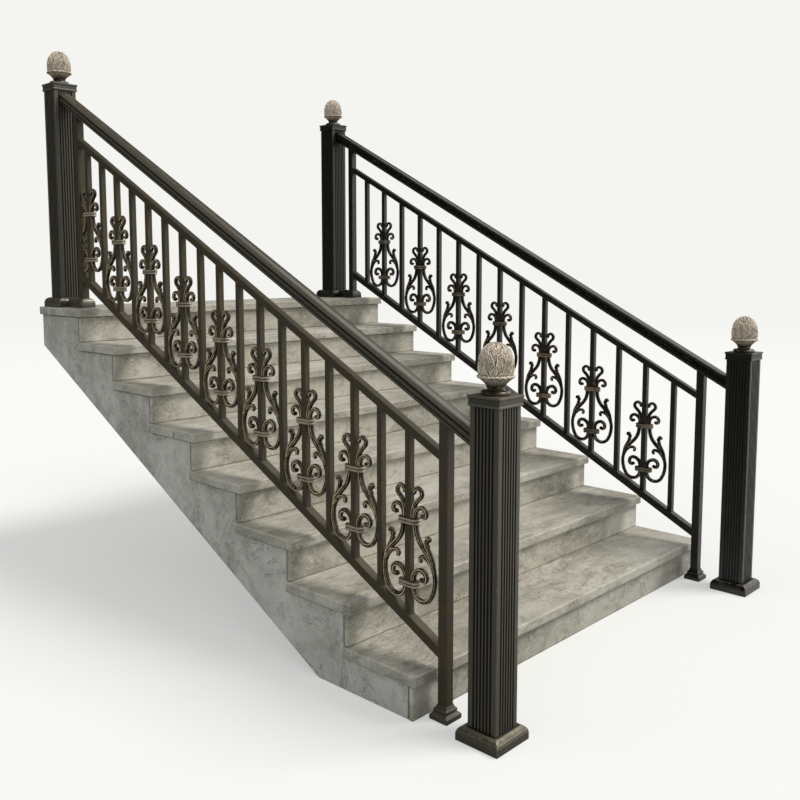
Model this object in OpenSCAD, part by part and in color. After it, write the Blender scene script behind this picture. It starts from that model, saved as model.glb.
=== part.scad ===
// Straight stone stair flight carrying a pair of metal balustrades: fluted
// newels with carved finials, moulded handrails, square balusters and
// scroll ornaments bound by collars.
// X runs across the flight, Y runs up the flight, Z is up. The origin lies on
// the foot's underside, in the middle of the flight's width.

/* [Stone flight] */
// Number of steps
step_count = 8; // [6:1:10]
// Height of one step
step_rise = 150; // [130:1:175]
// Depth of one step, riser face to riser face
step_going = 290; // [260:1:330]
// Width of the flight between its side faces
flight_w = 1896; // [1400:10:2400]
// Depth of the top step, riser face to back face
landing_depth = 370; // [350:1:500]
// Upright distance from the step corners down to the soffit
waist_drop = 376; // [300:1:450]
// Thickness of a tread slab
slab_t = 36; // [25:1:50]
// How far a slab stands out past the riser below it
slab_nosing = 18; // [8:1:30]
// How far a slab stands out past each side face and past the back face
slab_overhang = 10; // [4:1:20]
// Thickness of a riser slab
riser_t = 18; // [12:1:30]
// Radius of a slab's eased front edge
slab_ease = 5; // [2:1:8]
// Distance from the first riser face back to the origin
origin_setback = 200; // [100:10:300]

/* [Newels] */
// Distance from a side face in to the line of its balustrade
rail_line_inset = 88; // [80:1:140]
// Distance from the first riser face forward to the bottom newel's axis
newel_front = 238; // [220:1:300]
// Side of a newel shaft
newel_w = 104; // [90:1:120]
// Height of a newel shaft's top above its floor
newel_h = 1000; // [960:1:1100]
// Side of a newel's base
newel_base_w = 156; // [140:1:170]
// Height of a newel's base
newel_base_h = 44; // [36:1:60]
// Height of the upright part of a newel's base
newel_plinth_h = 26; // [15:1:30]
// How far the base's rounded top ends outside the shaft
base_ledge = 2; // [1:0.5:6]
// Number of flutes on a face
flute_count = 6; // [4:1:7]
// Width of a flute
flute_w = 6.4; // [4:0.2:8]
// Depth of a flute
flute_depth = 4; // [2:0.5:6]
// Plain margin beside the outer flutes
flute_margin = 15; // [10:1:20]
// Side of a newel's cap
newel_cap_w = 118; // [110:1:130]
// Height of a newel's cap
newel_cap_h = 32; // [26:1:40]
// Height of the lip at the top and at the foot of the cap
cap_lip_h = 7; // [4:1:9]
// Depth of the cap's waist between its lips
cap_waist = 3; // [1:0.5:5]

/* [Finials] */
// Height of the turned neck under a finial
neck_h = 24; // [18:1:32]
// Diameter of the neck's disc
neck_disc_d = 87; // [76:1:96]
// Thickness of the neck's disc
neck_disc_h = 13; // [8:1:15]
// Diameter of the neck where it meets the cup
neck_top_d = 56; // [44:1:60]
// Height of the cup from the neck to its rim
cup_h = 26; // [20:1:34]
// Diameter of the cup's rim
cup_rim_d = 110; // [100:1:118]
// Height of the rim's bead
cup_bead_h = 8; // [6:1:10]
// Height of the carved egg above the rim
egg_h = 98; // [80:1:120]
// Widest diameter of the egg
egg_d = 106; // [92:1:114]
// Height above the rim at which the egg is widest
egg_belly_h = 22; // [10:1:30]

/* [End posts and rails] */
// Side of an end post
post_w = 34; // [28:1:40]
// Distance between the bottom newel's axis and the bottom post's axis
post_gap_bottom = 182; // [160:1:200]
// Distance between the top newel's axis and the top post's axis
post_gap_top = 166; // [150:1:190]
// Side of a post's foot
post_foot_w = 72; // [60:1:80]
// Height of the bottom post's foot
post_foot_h = 46; // [36:1:56]
// Height of the upright part of the post's foot
post_plinth_h = 18; // [12:1:26]
// Height of the bottom rail's underside above the step corners
bottom_rail_rise = 64; // [50:1:80]
// Depth of the bottom rail, square to its slope
bottom_rail_depth = 32; // [24:1:40]
// Width of the bottom rail
bottom_rail_w = 32; // [26:1:40]
// Height of the upper rail's underside above the step corners
upper_rail_rise = 683; // [660:1:720]
// Depth of the upper rail, square to its slope
upper_rail_depth = 26; // [20:1:34]
// Width of the upper rail
upper_rail_w = 28; // [24:1:36]
// Height of the handrail's underside above the step corners
handrail_rise = 807; // [790:1:840]
// Depth of the handrail, square to its slope
handrail_depth = 54; // [44:1:64]
// Width of the handrail
handrail_w = 58; // [48:1:70]
// Depth of the handrail's narrow underside strip
handrail_foot_depth = 10; // [6:1:14]
// Width of the handrail's narrow underside strip
handrail_foot_w = 38; // [34:1:46]
// Height of the handrail's rounded crown
handrail_crown_h = 12; // [8:1:16]
// Depth and height of the groove under the crown
handrail_groove = 3; // [1:0.5:4]

/* [Balusters] */
// Side of a baluster
baluster_w = 22; // [18:1:26]
// Number of balusters on the left side
left_count = 17; // [9:2:17]
// Distance from the bottom post's axis to the first baluster on the left
left_first = 152; // [140:1:170]
// Distance from the last baluster on the left to the top post's axis
left_last = 78; // [70:1:90]
// Number of balusters on the right side
right_count = 15; // [9:2:15]
// Distance from the bottom post's axis to the first baluster on the right
right_first = 128; // [110:1:150]
// Distance from the last baluster on the right to the top post's axis
right_last = 126; // [110:1:150]

/* [Scroll ornaments] */
// Height of the upper collar's middle above the step corners
collar_rise = 400; // [390:1:410]
// Distance between the middles of the two collars
collar_drop = 204; // [196:1:215]
// Width of a collar along the balustrade
collar_w = 85; // [80:1:90]
// Height of a collar
collar_h = 21; // [20:1:24]
// Thickness of a collar across the balustrade
collar_d = 36; // [30:1:44]
// Thickness of the scroll bars across the balustrade
scroll_d = 13; // [10:1:16]
// Width of the heaviest scroll bars
scroll_bar_w = 12; // [10:0.5:14]
// Width of the light scroll bars
scroll_thin_w = 9; // [7:0.5:10]
// Radius of the round ends of the scrolls
scroll_eye_r = 7; // [6:0.5:8]

/* [Hidden] */
$fn = 48;
// Overlap of a cutting shape past the face that it cuts
cut = 1;
// Powers of the egg's curve above its widest place: a higher fullness keeps it
// wide for longer, and a lower tip power makes a rounder tip
egg_fullness = 2.4;
egg_tip_power = 0.5;

slope = step_rise / step_going;
pitch = atan(slope);
body_back = (step_count - 1) * step_going + landing_depth;
landing_z = step_count * step_rise;
foot_l = (waist_drop - step_rise) / slope;
rail_x = flight_w / 2 - rail_line_inset;
bottom_newel_y = -newel_front;
top_newel_y = body_back - newel_base_w / 2;
bottom_post_y = bottom_newel_y + post_gap_bottom;
top_post_y = top_newel_y - post_gap_top;
cap_top = newel_h + newel_cap_h;
balustrade_metal = [0.13, 0.125, 0.11];
scroll_metal = [0.33, 0.27, 0.19];
stone = [0.62, 0.60, 0.55];
finial_stone = [0.70, 0.65, 0.58];

// Height of the line through the step corners at a given Y
function corner_line(y) = step_rise + slope * y;
// Upright size of something that measures d square to the slope
function upright(d) = d / cos(pitch);
// Point reached after an arc of radius r from heading a to heading b
function arc_end(p, r, a, b) =
    let (s = b > a ? 1 : -1)
    [p[0] + s * r * (sin(b) - sin(a)), p[1] + s * r * (cos(a) - cos(b))];
// Heading after the first n moves of a path
function heading(h, moves, n) = n == 0 ? h : heading(h, moves, n - 1) + moves[n - 1][1];
// Place after the first n moves of a path; a move is [radius, turn], or [length, 0]
function place(p, h, moves, n) =
    n == 0 ? p :
    let (
        q = place(p, h, moves, n - 1),
        a = heading(h, moves, n - 1),
        m = moves[n - 1]
    )
    m[1] == 0 ? [q[0] + m[0] * cos(a), q[1] + m[0] * sin(a)] : arc_end(q, m[0], a, a + m[1]);

// ---------------------------------------------------------------- shared

// Extrudes a flat shape drawn in Y and Z to a given width across the flight
module across(width) {
    rotate([90, 0, 90]) linear_extrude(height = width, center = true) children();
}

module at_side(side) {
    translate([side == "left" ? -rail_x : rail_x, 0, 0]) children();
}

// A bar that follows the slope between two upright cuts
module sloped_bar(y0, y1, rise, depth, width) {
    across(width) polygon([
        [y0, corner_line(y0) + rise],
        [y1, corner_line(y1) + rise],
        [y1, corner_line(y1) + rise + upright(depth)],
        [y0, corner_line(y0) + rise + upright(depth)]
    ]);
}

// Rectangle with a quarter round on its two upper corners; the round is as
// large as the ledge beside the top allows
module ovolo_profile(length, top_length, height, plinth) {
    r = min(height - plinth, (length - top_length) / 2);
    intersection() {
        translate([-length / 2, 0]) square([length, height]);
        union() {
            translate([-length / 2, 0]) square([length, height - r]);
            translate([-length / 2 + r, 0]) square([length - 2 * r, height]);
            for (s = [-1, 1]) translate([s * (length / 2 - r), height - r]) circle(r = r);
        }
    }
}

// Moulded foot: an upright plinth under a quarter round, mitred at its corners
module moulded_foot(size_x, size_y, top_x, top_y, height, plinth) {
    intersection() {
        across(size_x) ovolo_profile(size_y, top_y, height, plinth);
        rotate([90, 0, 0]) linear_extrude(height = size_y, center = true)
            ovolo_profile(size_x, top_x, height, plinth);
    }
}

module newel_foot() {
    top_w = newel_w + 2 * base_ledge;
    moulded_foot(newel_base_w, newel_base_w, top_w, top_w, newel_base_h, newel_plinth_h);
}

// ---------------------------------------------------------------- flight

module flight_body() {
    steps = [for (i = [0:step_count - 1], top = [0, 1])
        [i * step_going + riser_t, (i + top) * step_rise - (i + top > 0 ? slab_t : 0)]];
    color(stone) across(flight_w) polygon(concat(
        steps,
        [
            [body_back, landing_z - slab_t],
            [body_back, corner_line(body_back) - waist_drop],
            [foot_l, 0]
        ]
    ));
}

// Upright slabs that face the steps; each stands on the tread slab below it
module risers() {
    color(stone) across(flight_w) for (i = [0:step_count - 1])
        translate([i * step_going, i * step_rise]) square([riser_t, step_rise - slab_t]);
}

// The tread slab of step i, counted from 1 at the bottom
module tread(i) {
    front = (i - 1) * step_going - slab_nosing;
    back = i < step_count ? i * step_going + riser_t : body_back + slab_overhang;
    top = i * step_rise;
    color(stone) across(flight_w + 2 * slab_overhang) {
        translate([front + slab_ease, top - slab_t]) square([back - front - slab_ease, slab_t]);
        translate([front, top - slab_t]) square([slab_ease + cut, slab_t - slab_ease]);
        translate([front + slab_ease, top - slab_ease]) circle(r = slab_ease);
    }
}

// ---------------------------------------------------------------- newels

module newel_shaft(floor_z) {
    fluted_w = newel_w - 2 * flute_margin;
    flute_pitch = fluted_w / flute_count;
    translate([0, 0, floor_z + newel_base_h]) linear_extrude(height = newel_h - newel_base_h) difference() {
        square(newel_w, center = true);
        for (face = [0:90:270], i = [0:flute_count - 1])
            rotate(face) translate([(i + 0.5) * flute_pitch - fluted_w / 2, newel_w / 2 - flute_depth + flute_w / 2]) {
                circle(d = flute_w);
                translate([-flute_w / 2, 0]) square([flute_w, flute_depth + cut]);
            }
    }
}

module newel_cap(floor_z) {
    waist_w = newel_cap_w - 2 * cap_waist;
    translate([0, 0, floor_z + newel_h]) {
        linear_extrude(height = newel_cap_h) square(waist_w, center = true);
        linear_extrude(height = cap_lip_h) square(newel_cap_w - cap_waist, center = true);
        translate([0, 0, newel_cap_h - cap_lip_h]) linear_extrude(height = cap_lip_h)
            square(newel_cap_w, center = true);
    }
}

// Turned neck: a disc with a rounded edge, a cove and a ring under the cup
module finial_neck() {
    disc_r = neck_disc_d / 2;
    top_r = neck_top_d / 2;
    edge_r = neck_disc_h / 2;
    ring_h = (neck_h - neck_disc_h) / 3;
    rotate_extrude() {
        square([disc_r - edge_r, neck_disc_h]);
        translate([disc_r - edge_r, edge_r]) intersection() {
            circle(r = edge_r);
            translate([0, -edge_r]) square([edge_r, 2 * edge_r]);
        }
        square([top_r - ring_h, neck_h]);
        translate([0, neck_h - ring_h]) square([top_r, ring_h]);
    }
}

// Radius of the egg at a share t of its height, 0 at the rim and 1 at the tip
function egg_r(t) =
    let (belly = egg_belly_h / egg_h)
    t < belly
        ? egg_d / 2 * (1 - 0.06 * pow(1 - t / belly, 2))
        : egg_d / 2 * pow(1 - pow((t - belly) / (1 - belly), egg_fullness), egg_tip_power);

module finial() {
    profile_steps = 14;
    bead_r = cup_bead_h / 2;
    rotate_extrude() {
        polygon([
            [0, 0],
            [neck_top_d / 2 - 2, 0],
            [neck_top_d / 2 + 3, cup_h * 0.3],
            [cup_rim_d / 2 - bead_r, cup_h],
            [cup_rim_d / 2 - bead_r, cup_h + cup_bead_h],
            [0, cup_h + cup_bead_h]
        ]);
        translate([cup_rim_d / 2 - bead_r, cup_h + bead_r]) circle(r = bead_r);
        translate([0, cup_h + bead_r]) polygon(concat(
            [[0, 0]],
            [for (i = [0:profile_steps - 1]) [egg_r(i / profile_steps), egg_h * i / profile_steps]],
            [[0, egg_h]]
        ));
    }
}

module bottom_newel(side) {
    color(balustrade_metal) at_side(side) translate([0, bottom_newel_y, 0]) newel_shaft(0);
}

module bottom_newel_base(side) {
    color(balustrade_metal) at_side(side) translate([0, bottom_newel_y, 0]) newel_foot();
}

module bottom_newel_cap(side) {
    color(balustrade_metal) at_side(side) translate([0, bottom_newel_y, 0]) newel_cap(0);
}

module top_newel(side) {
    color(balustrade_metal) at_side(side) translate([0, top_newel_y, 0]) newel_shaft(landing_z);
}

// The top newel's base runs on forward as the foot of the top post
module top_newel_base(side) {
    run = post_gap_top + post_foot_w / 2;
    post_top = post_w + 2 * base_ledge;
    color(balustrade_metal) at_side(side) translate([0, top_newel_y, landing_z]) {
        newel_foot();
        translate([0, -run / 2, 0]) moulded_foot(
            post_foot_w, run, post_top, run - post_foot_w + post_top, newel_base_h, newel_plinth_h
        );
    }
}

module top_newel_cap(side) {
    color(balustrade_metal) at_side(side) translate([0, top_newel_y, 0]) newel_cap(landing_z);
}

module on_both_newels(side, height) {
    at_side(side) {
        translate([0, bottom_newel_y, height]) children();
        translate([0, top_newel_y, landing_z + height]) children();
    }
}

module finial_necks(side) {
    color(balustrade_metal) on_both_newels(side, cap_top) finial_neck();
}

module finials(side) {
    color(finial_stone) on_both_newels(side, cap_top + neck_h) finial();
}

// ---------------------------------------------------------------- posts and rails

// Square post from its floor up to the handrail's sloping underside
module post(y, bottom) {
    across(post_w) polygon([
        [y - post_w / 2, bottom],
        [y + post_w / 2, bottom],
        [y + post_w / 2, corner_line(y + post_w / 2) + handrail_rise],
        [y - post_w / 2, corner_line(y - post_w / 2) + handrail_rise]
    ]);
}

module bottom_post(side) {
    color(balustrade_metal) at_side(side) post(bottom_post_y, post_foot_h);
}

module bottom_post_foot(side) {
    top_w = post_w + 2 * base_ledge;
    color(balustrade_metal) at_side(side) translate([0, bottom_post_y, 0])
        moulded_foot(post_foot_w, post_foot_w, top_w, top_w, post_foot_h, post_plinth_h);
}

module top_post(side) {
    color(balustrade_metal) at_side(side) post(top_post_y, landing_z + newel_base_h);
}

// Handrail section, drawn square to its slope with its underside at zero
module handrail_section() {
    crown_base = handrail_depth - handrail_crown_h;
    crown_r = (pow(handrail_w / 2, 2) + pow(handrail_crown_h, 2)) / (2 * handrail_crown_h);
    translate([-handrail_foot_w / 2, 0]) square([handrail_foot_w, handrail_foot_depth + cut]);
    translate([-handrail_w / 2, handrail_foot_depth])
        square([handrail_w, crown_base - handrail_groove - handrail_foot_depth]);
    translate([-handrail_w / 2 + handrail_groove, handrail_foot_depth])
        square([handrail_w - 2 * handrail_groove, crown_base - handrail_foot_depth]);
    intersection() {
        translate([0, handrail_depth - crown_r]) circle(r = crown_r);
        translate([-handrail_w / 2, crown_base]) square([handrail_w, handrail_crown_h]);
    }
}

module handrail(side) {
    y0 = bottom_newel_y + newel_w / 2;
    y1 = top_newel_y - newel_w / 2;
    spare = 2 * handrail_depth;
    run = upright(y1 - y0) + 2 * spare;
    rise = corner_line(y0) + handrail_rise;
    color(balustrade_metal) at_side(side) intersection() {
        translate([0, y0, rise]) rotate([pitch, 0, 0]) translate([0, run - spare, 0])
            rotate([90, 0, 0]) linear_extrude(height = run) handrail_section();
        translate([-handrail_w, y0, 0]) cube([2 * handrail_w, y1 - y0, 2 * landing_z + handrail_rise]);
    }
}

module panel_bar(side, rise, depth, width) {
    color(balustrade_metal) at_side(side)
        sloped_bar(bottom_post_y + post_w / 2, top_post_y - post_w / 2, rise, depth, width);
}

module upper_rail(side) {
    panel_bar(side, upper_rail_rise, upper_rail_depth, upper_rail_w);
}

module bottom_rail(side) {
    panel_bar(side, bottom_rail_rise, bottom_rail_depth, bottom_rail_w);
}

// ---------------------------------------------------------------- balusters and ornaments

// Places of the balusters along Y on one side
function baluster_line(side) =
    let (
        n = side == "left" ? left_count : right_count,
        first = bottom_post_y + (side == "left" ? left_first : right_first),
        last = top_post_y - (side == "left" ? left_last : right_last)
    )
    [for (i = [0:n - 1]) first + (last - first) * i / (n - 1)];

// Places of the ornaments: every other baluster, with the end ones on the left
function ornament_line(side) =
    let (line = baluster_line(side))
    [for (i = [(side == "left" ? 0 : 1):2:len(line) - 1]) line[i]];

module balusters(side) {
    low = bottom_rail_rise + upright(bottom_rail_depth);
    half = baluster_w / 2;
    color(balustrade_metal) at_side(side) across(baluster_w) for (y = baluster_line(side))
        polygon([
            [y - half, corner_line(y - half) + low],
            [y + half, corner_line(y + half) + low],
            [y + half, corner_line(y + half) + upper_rail_rise],
            [y - half, corner_line(y - half) + upper_rail_rise]
        ]);
}

// Part of a ring about the origin, between two angles
module ring_sector(r, w, from, to) {
    parts = ceil((to - from) / 60);
    step = (to - from) / parts;
    reach = (r + w) / cos(step / 2);
    intersection() {
        difference() {
            circle(r = r + w / 2);
            circle(r = r - w / 2);
        }
        polygon(concat([[0, 0]], [for (i = [0:parts]) reach * [cos(from + i * step), sin(from + i * step)]]));
    }
}

// One move of a bar: a straight of length m[0], or an arc of radius m[0] and turn m[1]
module bar_move(p, a, m, w) {
    b = a + m[1];
    if (m[1] == 0)
        translate(p) rotate(a) translate([0, -w / 2]) square([m[0], w]);
    else if (m[1] > 0)
        translate(p + m[0] * [-sin(a), cos(a)]) ring_sector(m[0], w, a - 90, b - 90);
    else
        translate(p + m[0] * [sin(a), -cos(a)]) ring_sector(m[0], w, b + 90, a + 90);
}

// A scroll bar that starts at p with heading h, and ends in an eye
module scroll_bar(p, h, moves, w, eye) {
    for (i = [0:len(moves) - 1])
        bar_move(place(p, h, moves, i), heading(h, moves, i), moves[i], w);
    if (eye > 0)
        translate(place(p, h, moves, len(moves))) circle(r = eye);
}

// One half of an ornament, drawn from the baluster's axis outward, with the
// upper collar's middle at height zero
module ornament_half() {
    beside = baluster_w / 2 + scroll_bar_w / 2;
    thin_beside = baluster_w / 2 + scroll_thin_w / 2;
    upper_top = collar_h / 2;
    upper_foot = -collar_h / 2;
    lower_top = upper_foot - collar_drop + collar_h;
    lower_foot = lower_top - collar_h;
    heart = [[38, 90], [42, 58], [112, 32], [74, 50], [40, 40], [9, 140]];
    heart_start = [beside, lower_foot];
    widest = place(heart_start, -90, heart, 3);
    arm = [[90, 35], [36, 0], [90, -45]];
    arm_start = arc_end(widest, heart[3][0], 90, 110);
    arm_end = place(arm_start, 100, arm, 3);

    scroll_bar([thin_beside, upper_top], 90, [[10, 0], [70, -55], [16, 235]], scroll_thin_w, 0);
    scroll_bar(
        [thin_beside + scroll_thin_w, upper_top], 90,
        [[8, 0], [28, -90], [18, -90], [10, -120]], scroll_thin_w, scroll_eye_r
    );
    scroll_bar(heart_start, -90, heart, scroll_bar_w, 0);
    scroll_bar(
        arm_start, 100, concat(arm, [[upper_foot - arm_end[1], 0]]), scroll_bar_w - 2, 0
    );
    scroll_bar(
        widest + [-3, 17], 92, [[130, 26], [24, 0], [50, -28], [8, -130]], scroll_thin_w, 0
    );
    scroll_bar(
        [beside, lower_top], 90, [[6, 0], [34, -90], [21, -90], [12, -130]], scroll_bar_w, scroll_eye_r
    );
}

// The ornaments of one side; an ornament that reaches an end post is cut to its face
module scrolls(side) {
    low_end = bottom_post_y + post_w / 2;
    high_end = top_post_y - post_w / 2;
    for_height = corner_line(high_end) + upper_rail_rise;
    color(scroll_metal) at_side(side) across(scroll_d) intersection() {
        for (y = ornament_line(side)) translate([y, corner_line(y) + collar_rise]) {
            ornament_half();
            mirror([1, 0]) ornament_half();
        }
        translate([low_end, 0]) square([high_end - low_end, for_height]);
    }
}

// A collar: a band with round ends that wraps the baluster
module collar() {
    difference() {
        linear_extrude(height = collar_h, center = true) {
            square([collar_d, collar_w - collar_d], center = true);
            for (s = [-1, 1]) translate([0, s * (collar_w - collar_d) / 2]) circle(d = collar_d);
        }
        cube([baluster_w, baluster_w, collar_h + 2 * cut], center = true);
    }
}

module collars(side) {
    color(scroll_metal) at_side(side) for (y = ornament_line(side), drop = [0, collar_drop])
        translate([0, y, corner_line(y) + collar_rise - drop]) collar();
}

// ---------------------------------------------------------------- placing

// Moves the flight so that the origin lies on its foot
module placed() {
    translate([0, -origin_setback, 0]) children();
}

placed() flight_body();
placed() risers();
for (i = [1:step_count])
    placed() tread(i);
for (side = ["left", "right"]) placed() {
    bottom_newel(side);
    bottom_newel_base(side);
    bottom_newel_cap(side);
    top_newel(side);
    top_newel_base(side);
    top_newel_cap(side);
    finial_necks(side);
    finials(side);
    bottom_post(side);
    bottom_post_foot(side);
    top_post(side);
    handrail(side);
    upper_rail(side);
    bottom_rail(side);
    balusters(side);
    scrolls(side);
    collars(side);
}
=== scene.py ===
"""Stone steps with a pair of scroll balustrades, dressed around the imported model."""

import math

import bmesh
import bpy
import numpy as np
from bpy.props import FloatProperty, FloatVectorProperty, IntProperty, PointerProperty
from mathutils import Matrix, Vector


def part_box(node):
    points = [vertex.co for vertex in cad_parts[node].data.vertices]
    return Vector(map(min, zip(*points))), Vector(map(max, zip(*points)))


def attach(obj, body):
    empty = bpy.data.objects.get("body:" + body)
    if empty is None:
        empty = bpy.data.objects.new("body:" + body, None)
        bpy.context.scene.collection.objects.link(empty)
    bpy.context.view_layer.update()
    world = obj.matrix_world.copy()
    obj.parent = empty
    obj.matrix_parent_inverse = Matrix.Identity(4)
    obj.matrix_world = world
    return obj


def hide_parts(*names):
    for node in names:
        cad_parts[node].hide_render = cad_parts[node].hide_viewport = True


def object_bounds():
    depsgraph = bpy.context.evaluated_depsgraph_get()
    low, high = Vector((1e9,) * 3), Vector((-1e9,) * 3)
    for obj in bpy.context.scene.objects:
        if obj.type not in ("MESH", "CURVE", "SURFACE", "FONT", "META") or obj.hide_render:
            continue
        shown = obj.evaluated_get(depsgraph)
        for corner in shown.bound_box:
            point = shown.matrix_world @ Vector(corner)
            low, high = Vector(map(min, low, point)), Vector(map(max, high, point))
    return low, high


bl_info = {
    "name": "Stone Steps With Scroll Balustrades",
    "version": (1, 0, 0),
    "blender": (4, 5, 0),
    "location": "3D View > Sidebar > Balustrade",
    "description": "Builds the stone flight, newels, rails, balusters and scroll ornaments",
    "category": "Object",
}

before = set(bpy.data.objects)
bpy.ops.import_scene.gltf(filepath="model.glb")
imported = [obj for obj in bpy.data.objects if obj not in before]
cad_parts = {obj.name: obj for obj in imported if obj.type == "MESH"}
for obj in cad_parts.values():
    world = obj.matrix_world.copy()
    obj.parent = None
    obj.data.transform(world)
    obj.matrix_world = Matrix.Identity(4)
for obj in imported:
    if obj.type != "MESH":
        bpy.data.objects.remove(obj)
CAD_LOW, CAD_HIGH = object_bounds()
SIDES = ("left", "right")
MM = 0.001
WELD = 1e-5
STEPS = len([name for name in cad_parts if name.startswith("tread_")])
# Near-black tone of the painted shade in the recesses of the metal
RECESS_SHADE = (0.0015, 0.0014, 0.001, 1.0)
LAMP_TINT = (1.0, 0.965, 0.915)
SKY_TINT = (0.955, 1.0, 0.995, 1.0)
COLLAR_HEIGHT = 21.0 * MM


def tone(red, green, blue):
    """Linear colour of a display colour given in 0 to 255"""
    parts = []
    for value in (red, green, blue):
        v = value / 255
        parts.append(v / 12.92 if v <= 0.04045 else ((v + 0.055) / 1.055) ** 2.4)
    return (*parts, 1.0)


def colour(name, about, red, green, blue):
    """Colour property of a settings group"""
    start = tone(red, green, blue)
    return FloatVectorProperty(
        name=name, description=about, subtype="COLOR", size=4, min=0, max=1, default=start
    )


def length(name, about, millimetres):
    """Length property of a settings group"""
    return FloatProperty(name=name, description=about, default=millimetres * MM, min=0, unit="LENGTH")


def share(name, about, value, top=1.0):
    """Plain factor of a settings group"""
    return FloatProperty(name=name, description=about, default=value, min=0, max=top)


def number(name, about, value, least, most):
    """Whole number of a settings group"""
    return IntProperty(name=name, description=about, default=value, min=least, max=most)


def direction(name, about, x, y, z):
    """Direction property of a settings group"""
    return FloatVectorProperty(name=name, description=about, subtype="DIRECTION", default=(x, y, z))


# ---------------------------------------------------------------- settings


class StoneLook(bpy.types.PropertyGroup):
    """Sizes and colours of the stone flight"""

    edge_round: length("Edge Round", "Radius of the worn stone edges", 3.5)
    edge_border: length("Edge Border", "Width of the paler rim along the edges", 5.0)
    joint: length("Joint", "Width of the dark joints between the slabs", 6.0)
    # Under Shade is the height of the band of painted shade under the slab overhangs
    under_shade: length("Under Shade", "Height of the grimy band under the slabs", 8.0)
    tread_pale: colour("Tread Pale", "Palest tone of the treads", 206, 202, 192)
    tread_mid: colour("Tread Middle", "Main tone of the treads", 184, 179, 167)
    tread_dark: colour("Tread Dark", "Darkest clouds of the treads", 154, 150, 138)
    riser_pale: colour("Riser Pale", "Palest tone of the risers", 216, 212, 201)
    riser_mid: colour("Riser Middle", "Main tone of the risers", 197, 192, 179)
    riser_dark: colour("Riser Dark", "Darkest clouds of the risers", 160, 156, 143)
    body_pale: colour("Body Pale", "Palest tone of the side faces", 228, 223, 217)
    body_mid: colour("Body Middle", "Main tone of the side faces", 210, 205, 199)
    body_dark: colour("Body Dark", "Darkest clouds of the side faces", 184, 179, 172)
    vein: colour("Vein", "Tone of the pale veins", 216, 211, 200)
    seam: colour("Seam", "Tone of the dark hairlines and joints", 84, 76, 62)


class MetalLook(bpy.types.PropertyGroup):
    """Sizes and colours of the dark metalwork"""

    edge_round: length("Edge Round", "Radius of the metal edges", 1.2)
    newel_dark: colour("Newel Dark", "Main tone of the newels", 78, 75, 64)
    newel_warm: colour("Newel Warm", "Second tone of the newels", 84, 77, 65)
    rail_dark: colour("Rail Dark", "Main tone of the rails, posts and balusters", 69, 64, 50)
    rail_warm: colour("Rail Warm", "Second tone of the rails, posts and balusters", 80, 67, 47)
    neck_dark: colour("Neck Dark", "Main tone of the turned necks", 46, 31, 18)
    # Painted shade: the right newels and rails are the same metal as the left ones, darkened
    right_painted_shade: share("Right Painted Shade", "Tone of the right newels against the left ones", 0.09)
    right_rail_painted_shade: share("Right Rail Painted Shade", "Tone of the right rails against the left ones", 0.054)
    cap_shade: share("Cap Shade", "Tone of the newel caps against the shafts", 1.35, 2)
    base_shade: share("Base Shade", "Tone of the newel bases against the shafts", 0.70)
    worn: colour("Worn", "Tone of the rubbed edges", 128, 118, 98)
    wear: share("Wear", "How far the rubbed edges reach", 0.34)
    # Reaches the rubbed edges and a painted highlight along the near bases' shoulders
    base_wear_and_sheen: share("Base Wear And Sheen", "How far the rubbed edges of the near newel bases reach", 0.45)


class NewelLook(bpy.types.PropertyGroup):
    """Fluting of the newel shafts"""

    flutes: number("Flutes", "Flutes on each face", 6, 1, 12)
    flute_width: length("Flute Width", "Width of a flute", 6.4)
    flute_depth: length("Flute Depth", "Depth of a flute", 4.0)
    margin: length("Margin", "Plain strip beside the outer flutes", 15.0)


class FinialLook(bpy.types.PropertyGroup):
    """Carving and colours of the finials"""

    leaves: number("Leaves", "Leaves in each ring", 11, 4, 14)
    beads: number("Beads", "Beads along the rim of the cup", 22, 6, 40)
    relief: length("Relief", "Depth of the carving", 4.4)
    # Pale and dark follow the relief: painted highlight on the raised carving, painted shade in the
    # recesses
    pale: colour("Pale", "Tone of the raised carving", 250, 238, 222)
    mid: colour("Middle", "Tone of the leaves", 220, 203, 183)
    dark: colour("Dark", "Tone of the recesses", 68, 55, 42)


class OrnamentLook(bpy.types.PropertyGroup):
    """Balusters, scroll ornaments and collars"""

    left_balusters: number("Left Balusters", "Balusters on the left", 17, 3, 40)
    right_balusters: number("Right Balusters", "Balusters on the right", 15, 3, 40)
    bar_width: length("Bar Width", "Width of the heaviest scroll bars", 12.0)
    thin_width: length("Thin Width", "Width of the light scroll bars", 9.0)
    depth: length("Depth", "Thickness of the scroll bars", 13.0)
    fullness: share("Fullness", "Thickness of the worked bars against the plain ones", 1.28, 2)
    eye: length("Eye", "Radius of the round ends", 7.6)
    collar_drop: length("Collar Drop", "Distance between the two collars of an ornament", 204.0)
    dark: colour("Dark", "Tone in the grooves", 20, 14, 9)
    warm: colour("Warm", "Main tone of the scrolls", 64, 46, 30)
    # Rubbed is the tone of the worn rims and of their painted highlights
    rubbed: colour("Rubbed", "Tone of the rubbed rims", 250, 226, 188)
    # Painted shade: the right side's scrolls are the same bronze, darkened
    right_painted_shade: share("Right Painted Shade", "Tone of the right side's scrolls against the left side's", 0.40)
    # The scrolls' rub is wear and painted highlight; it reaches less far on the right
    scroll_wear_and_sheen: share("Scroll Wear", "How far the rubbed rims of the left scrolls reach", 0.75)
    right_scroll_wear_and_sheen: share("Right Scroll Wear", "The same on the right", 0.40)
    collar_wear: share("Collar Wear", "How far the rubbed parts of the left collars reach", 0.55)
    right_collar_wear: share("Right Collar Wear", "The same on the right", 0.36)
    collar_dark: colour("Collar Dark", "Tone in the hollows of the collars", 74, 60, 46)
    collar_warm: colour("Collar Warm", "Main tone of the collars", 138, 123, 104)
    collar_rubbed: colour("Collar Rubbed", "Tone of the rubbed collars", 206, 194, 172)


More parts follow.
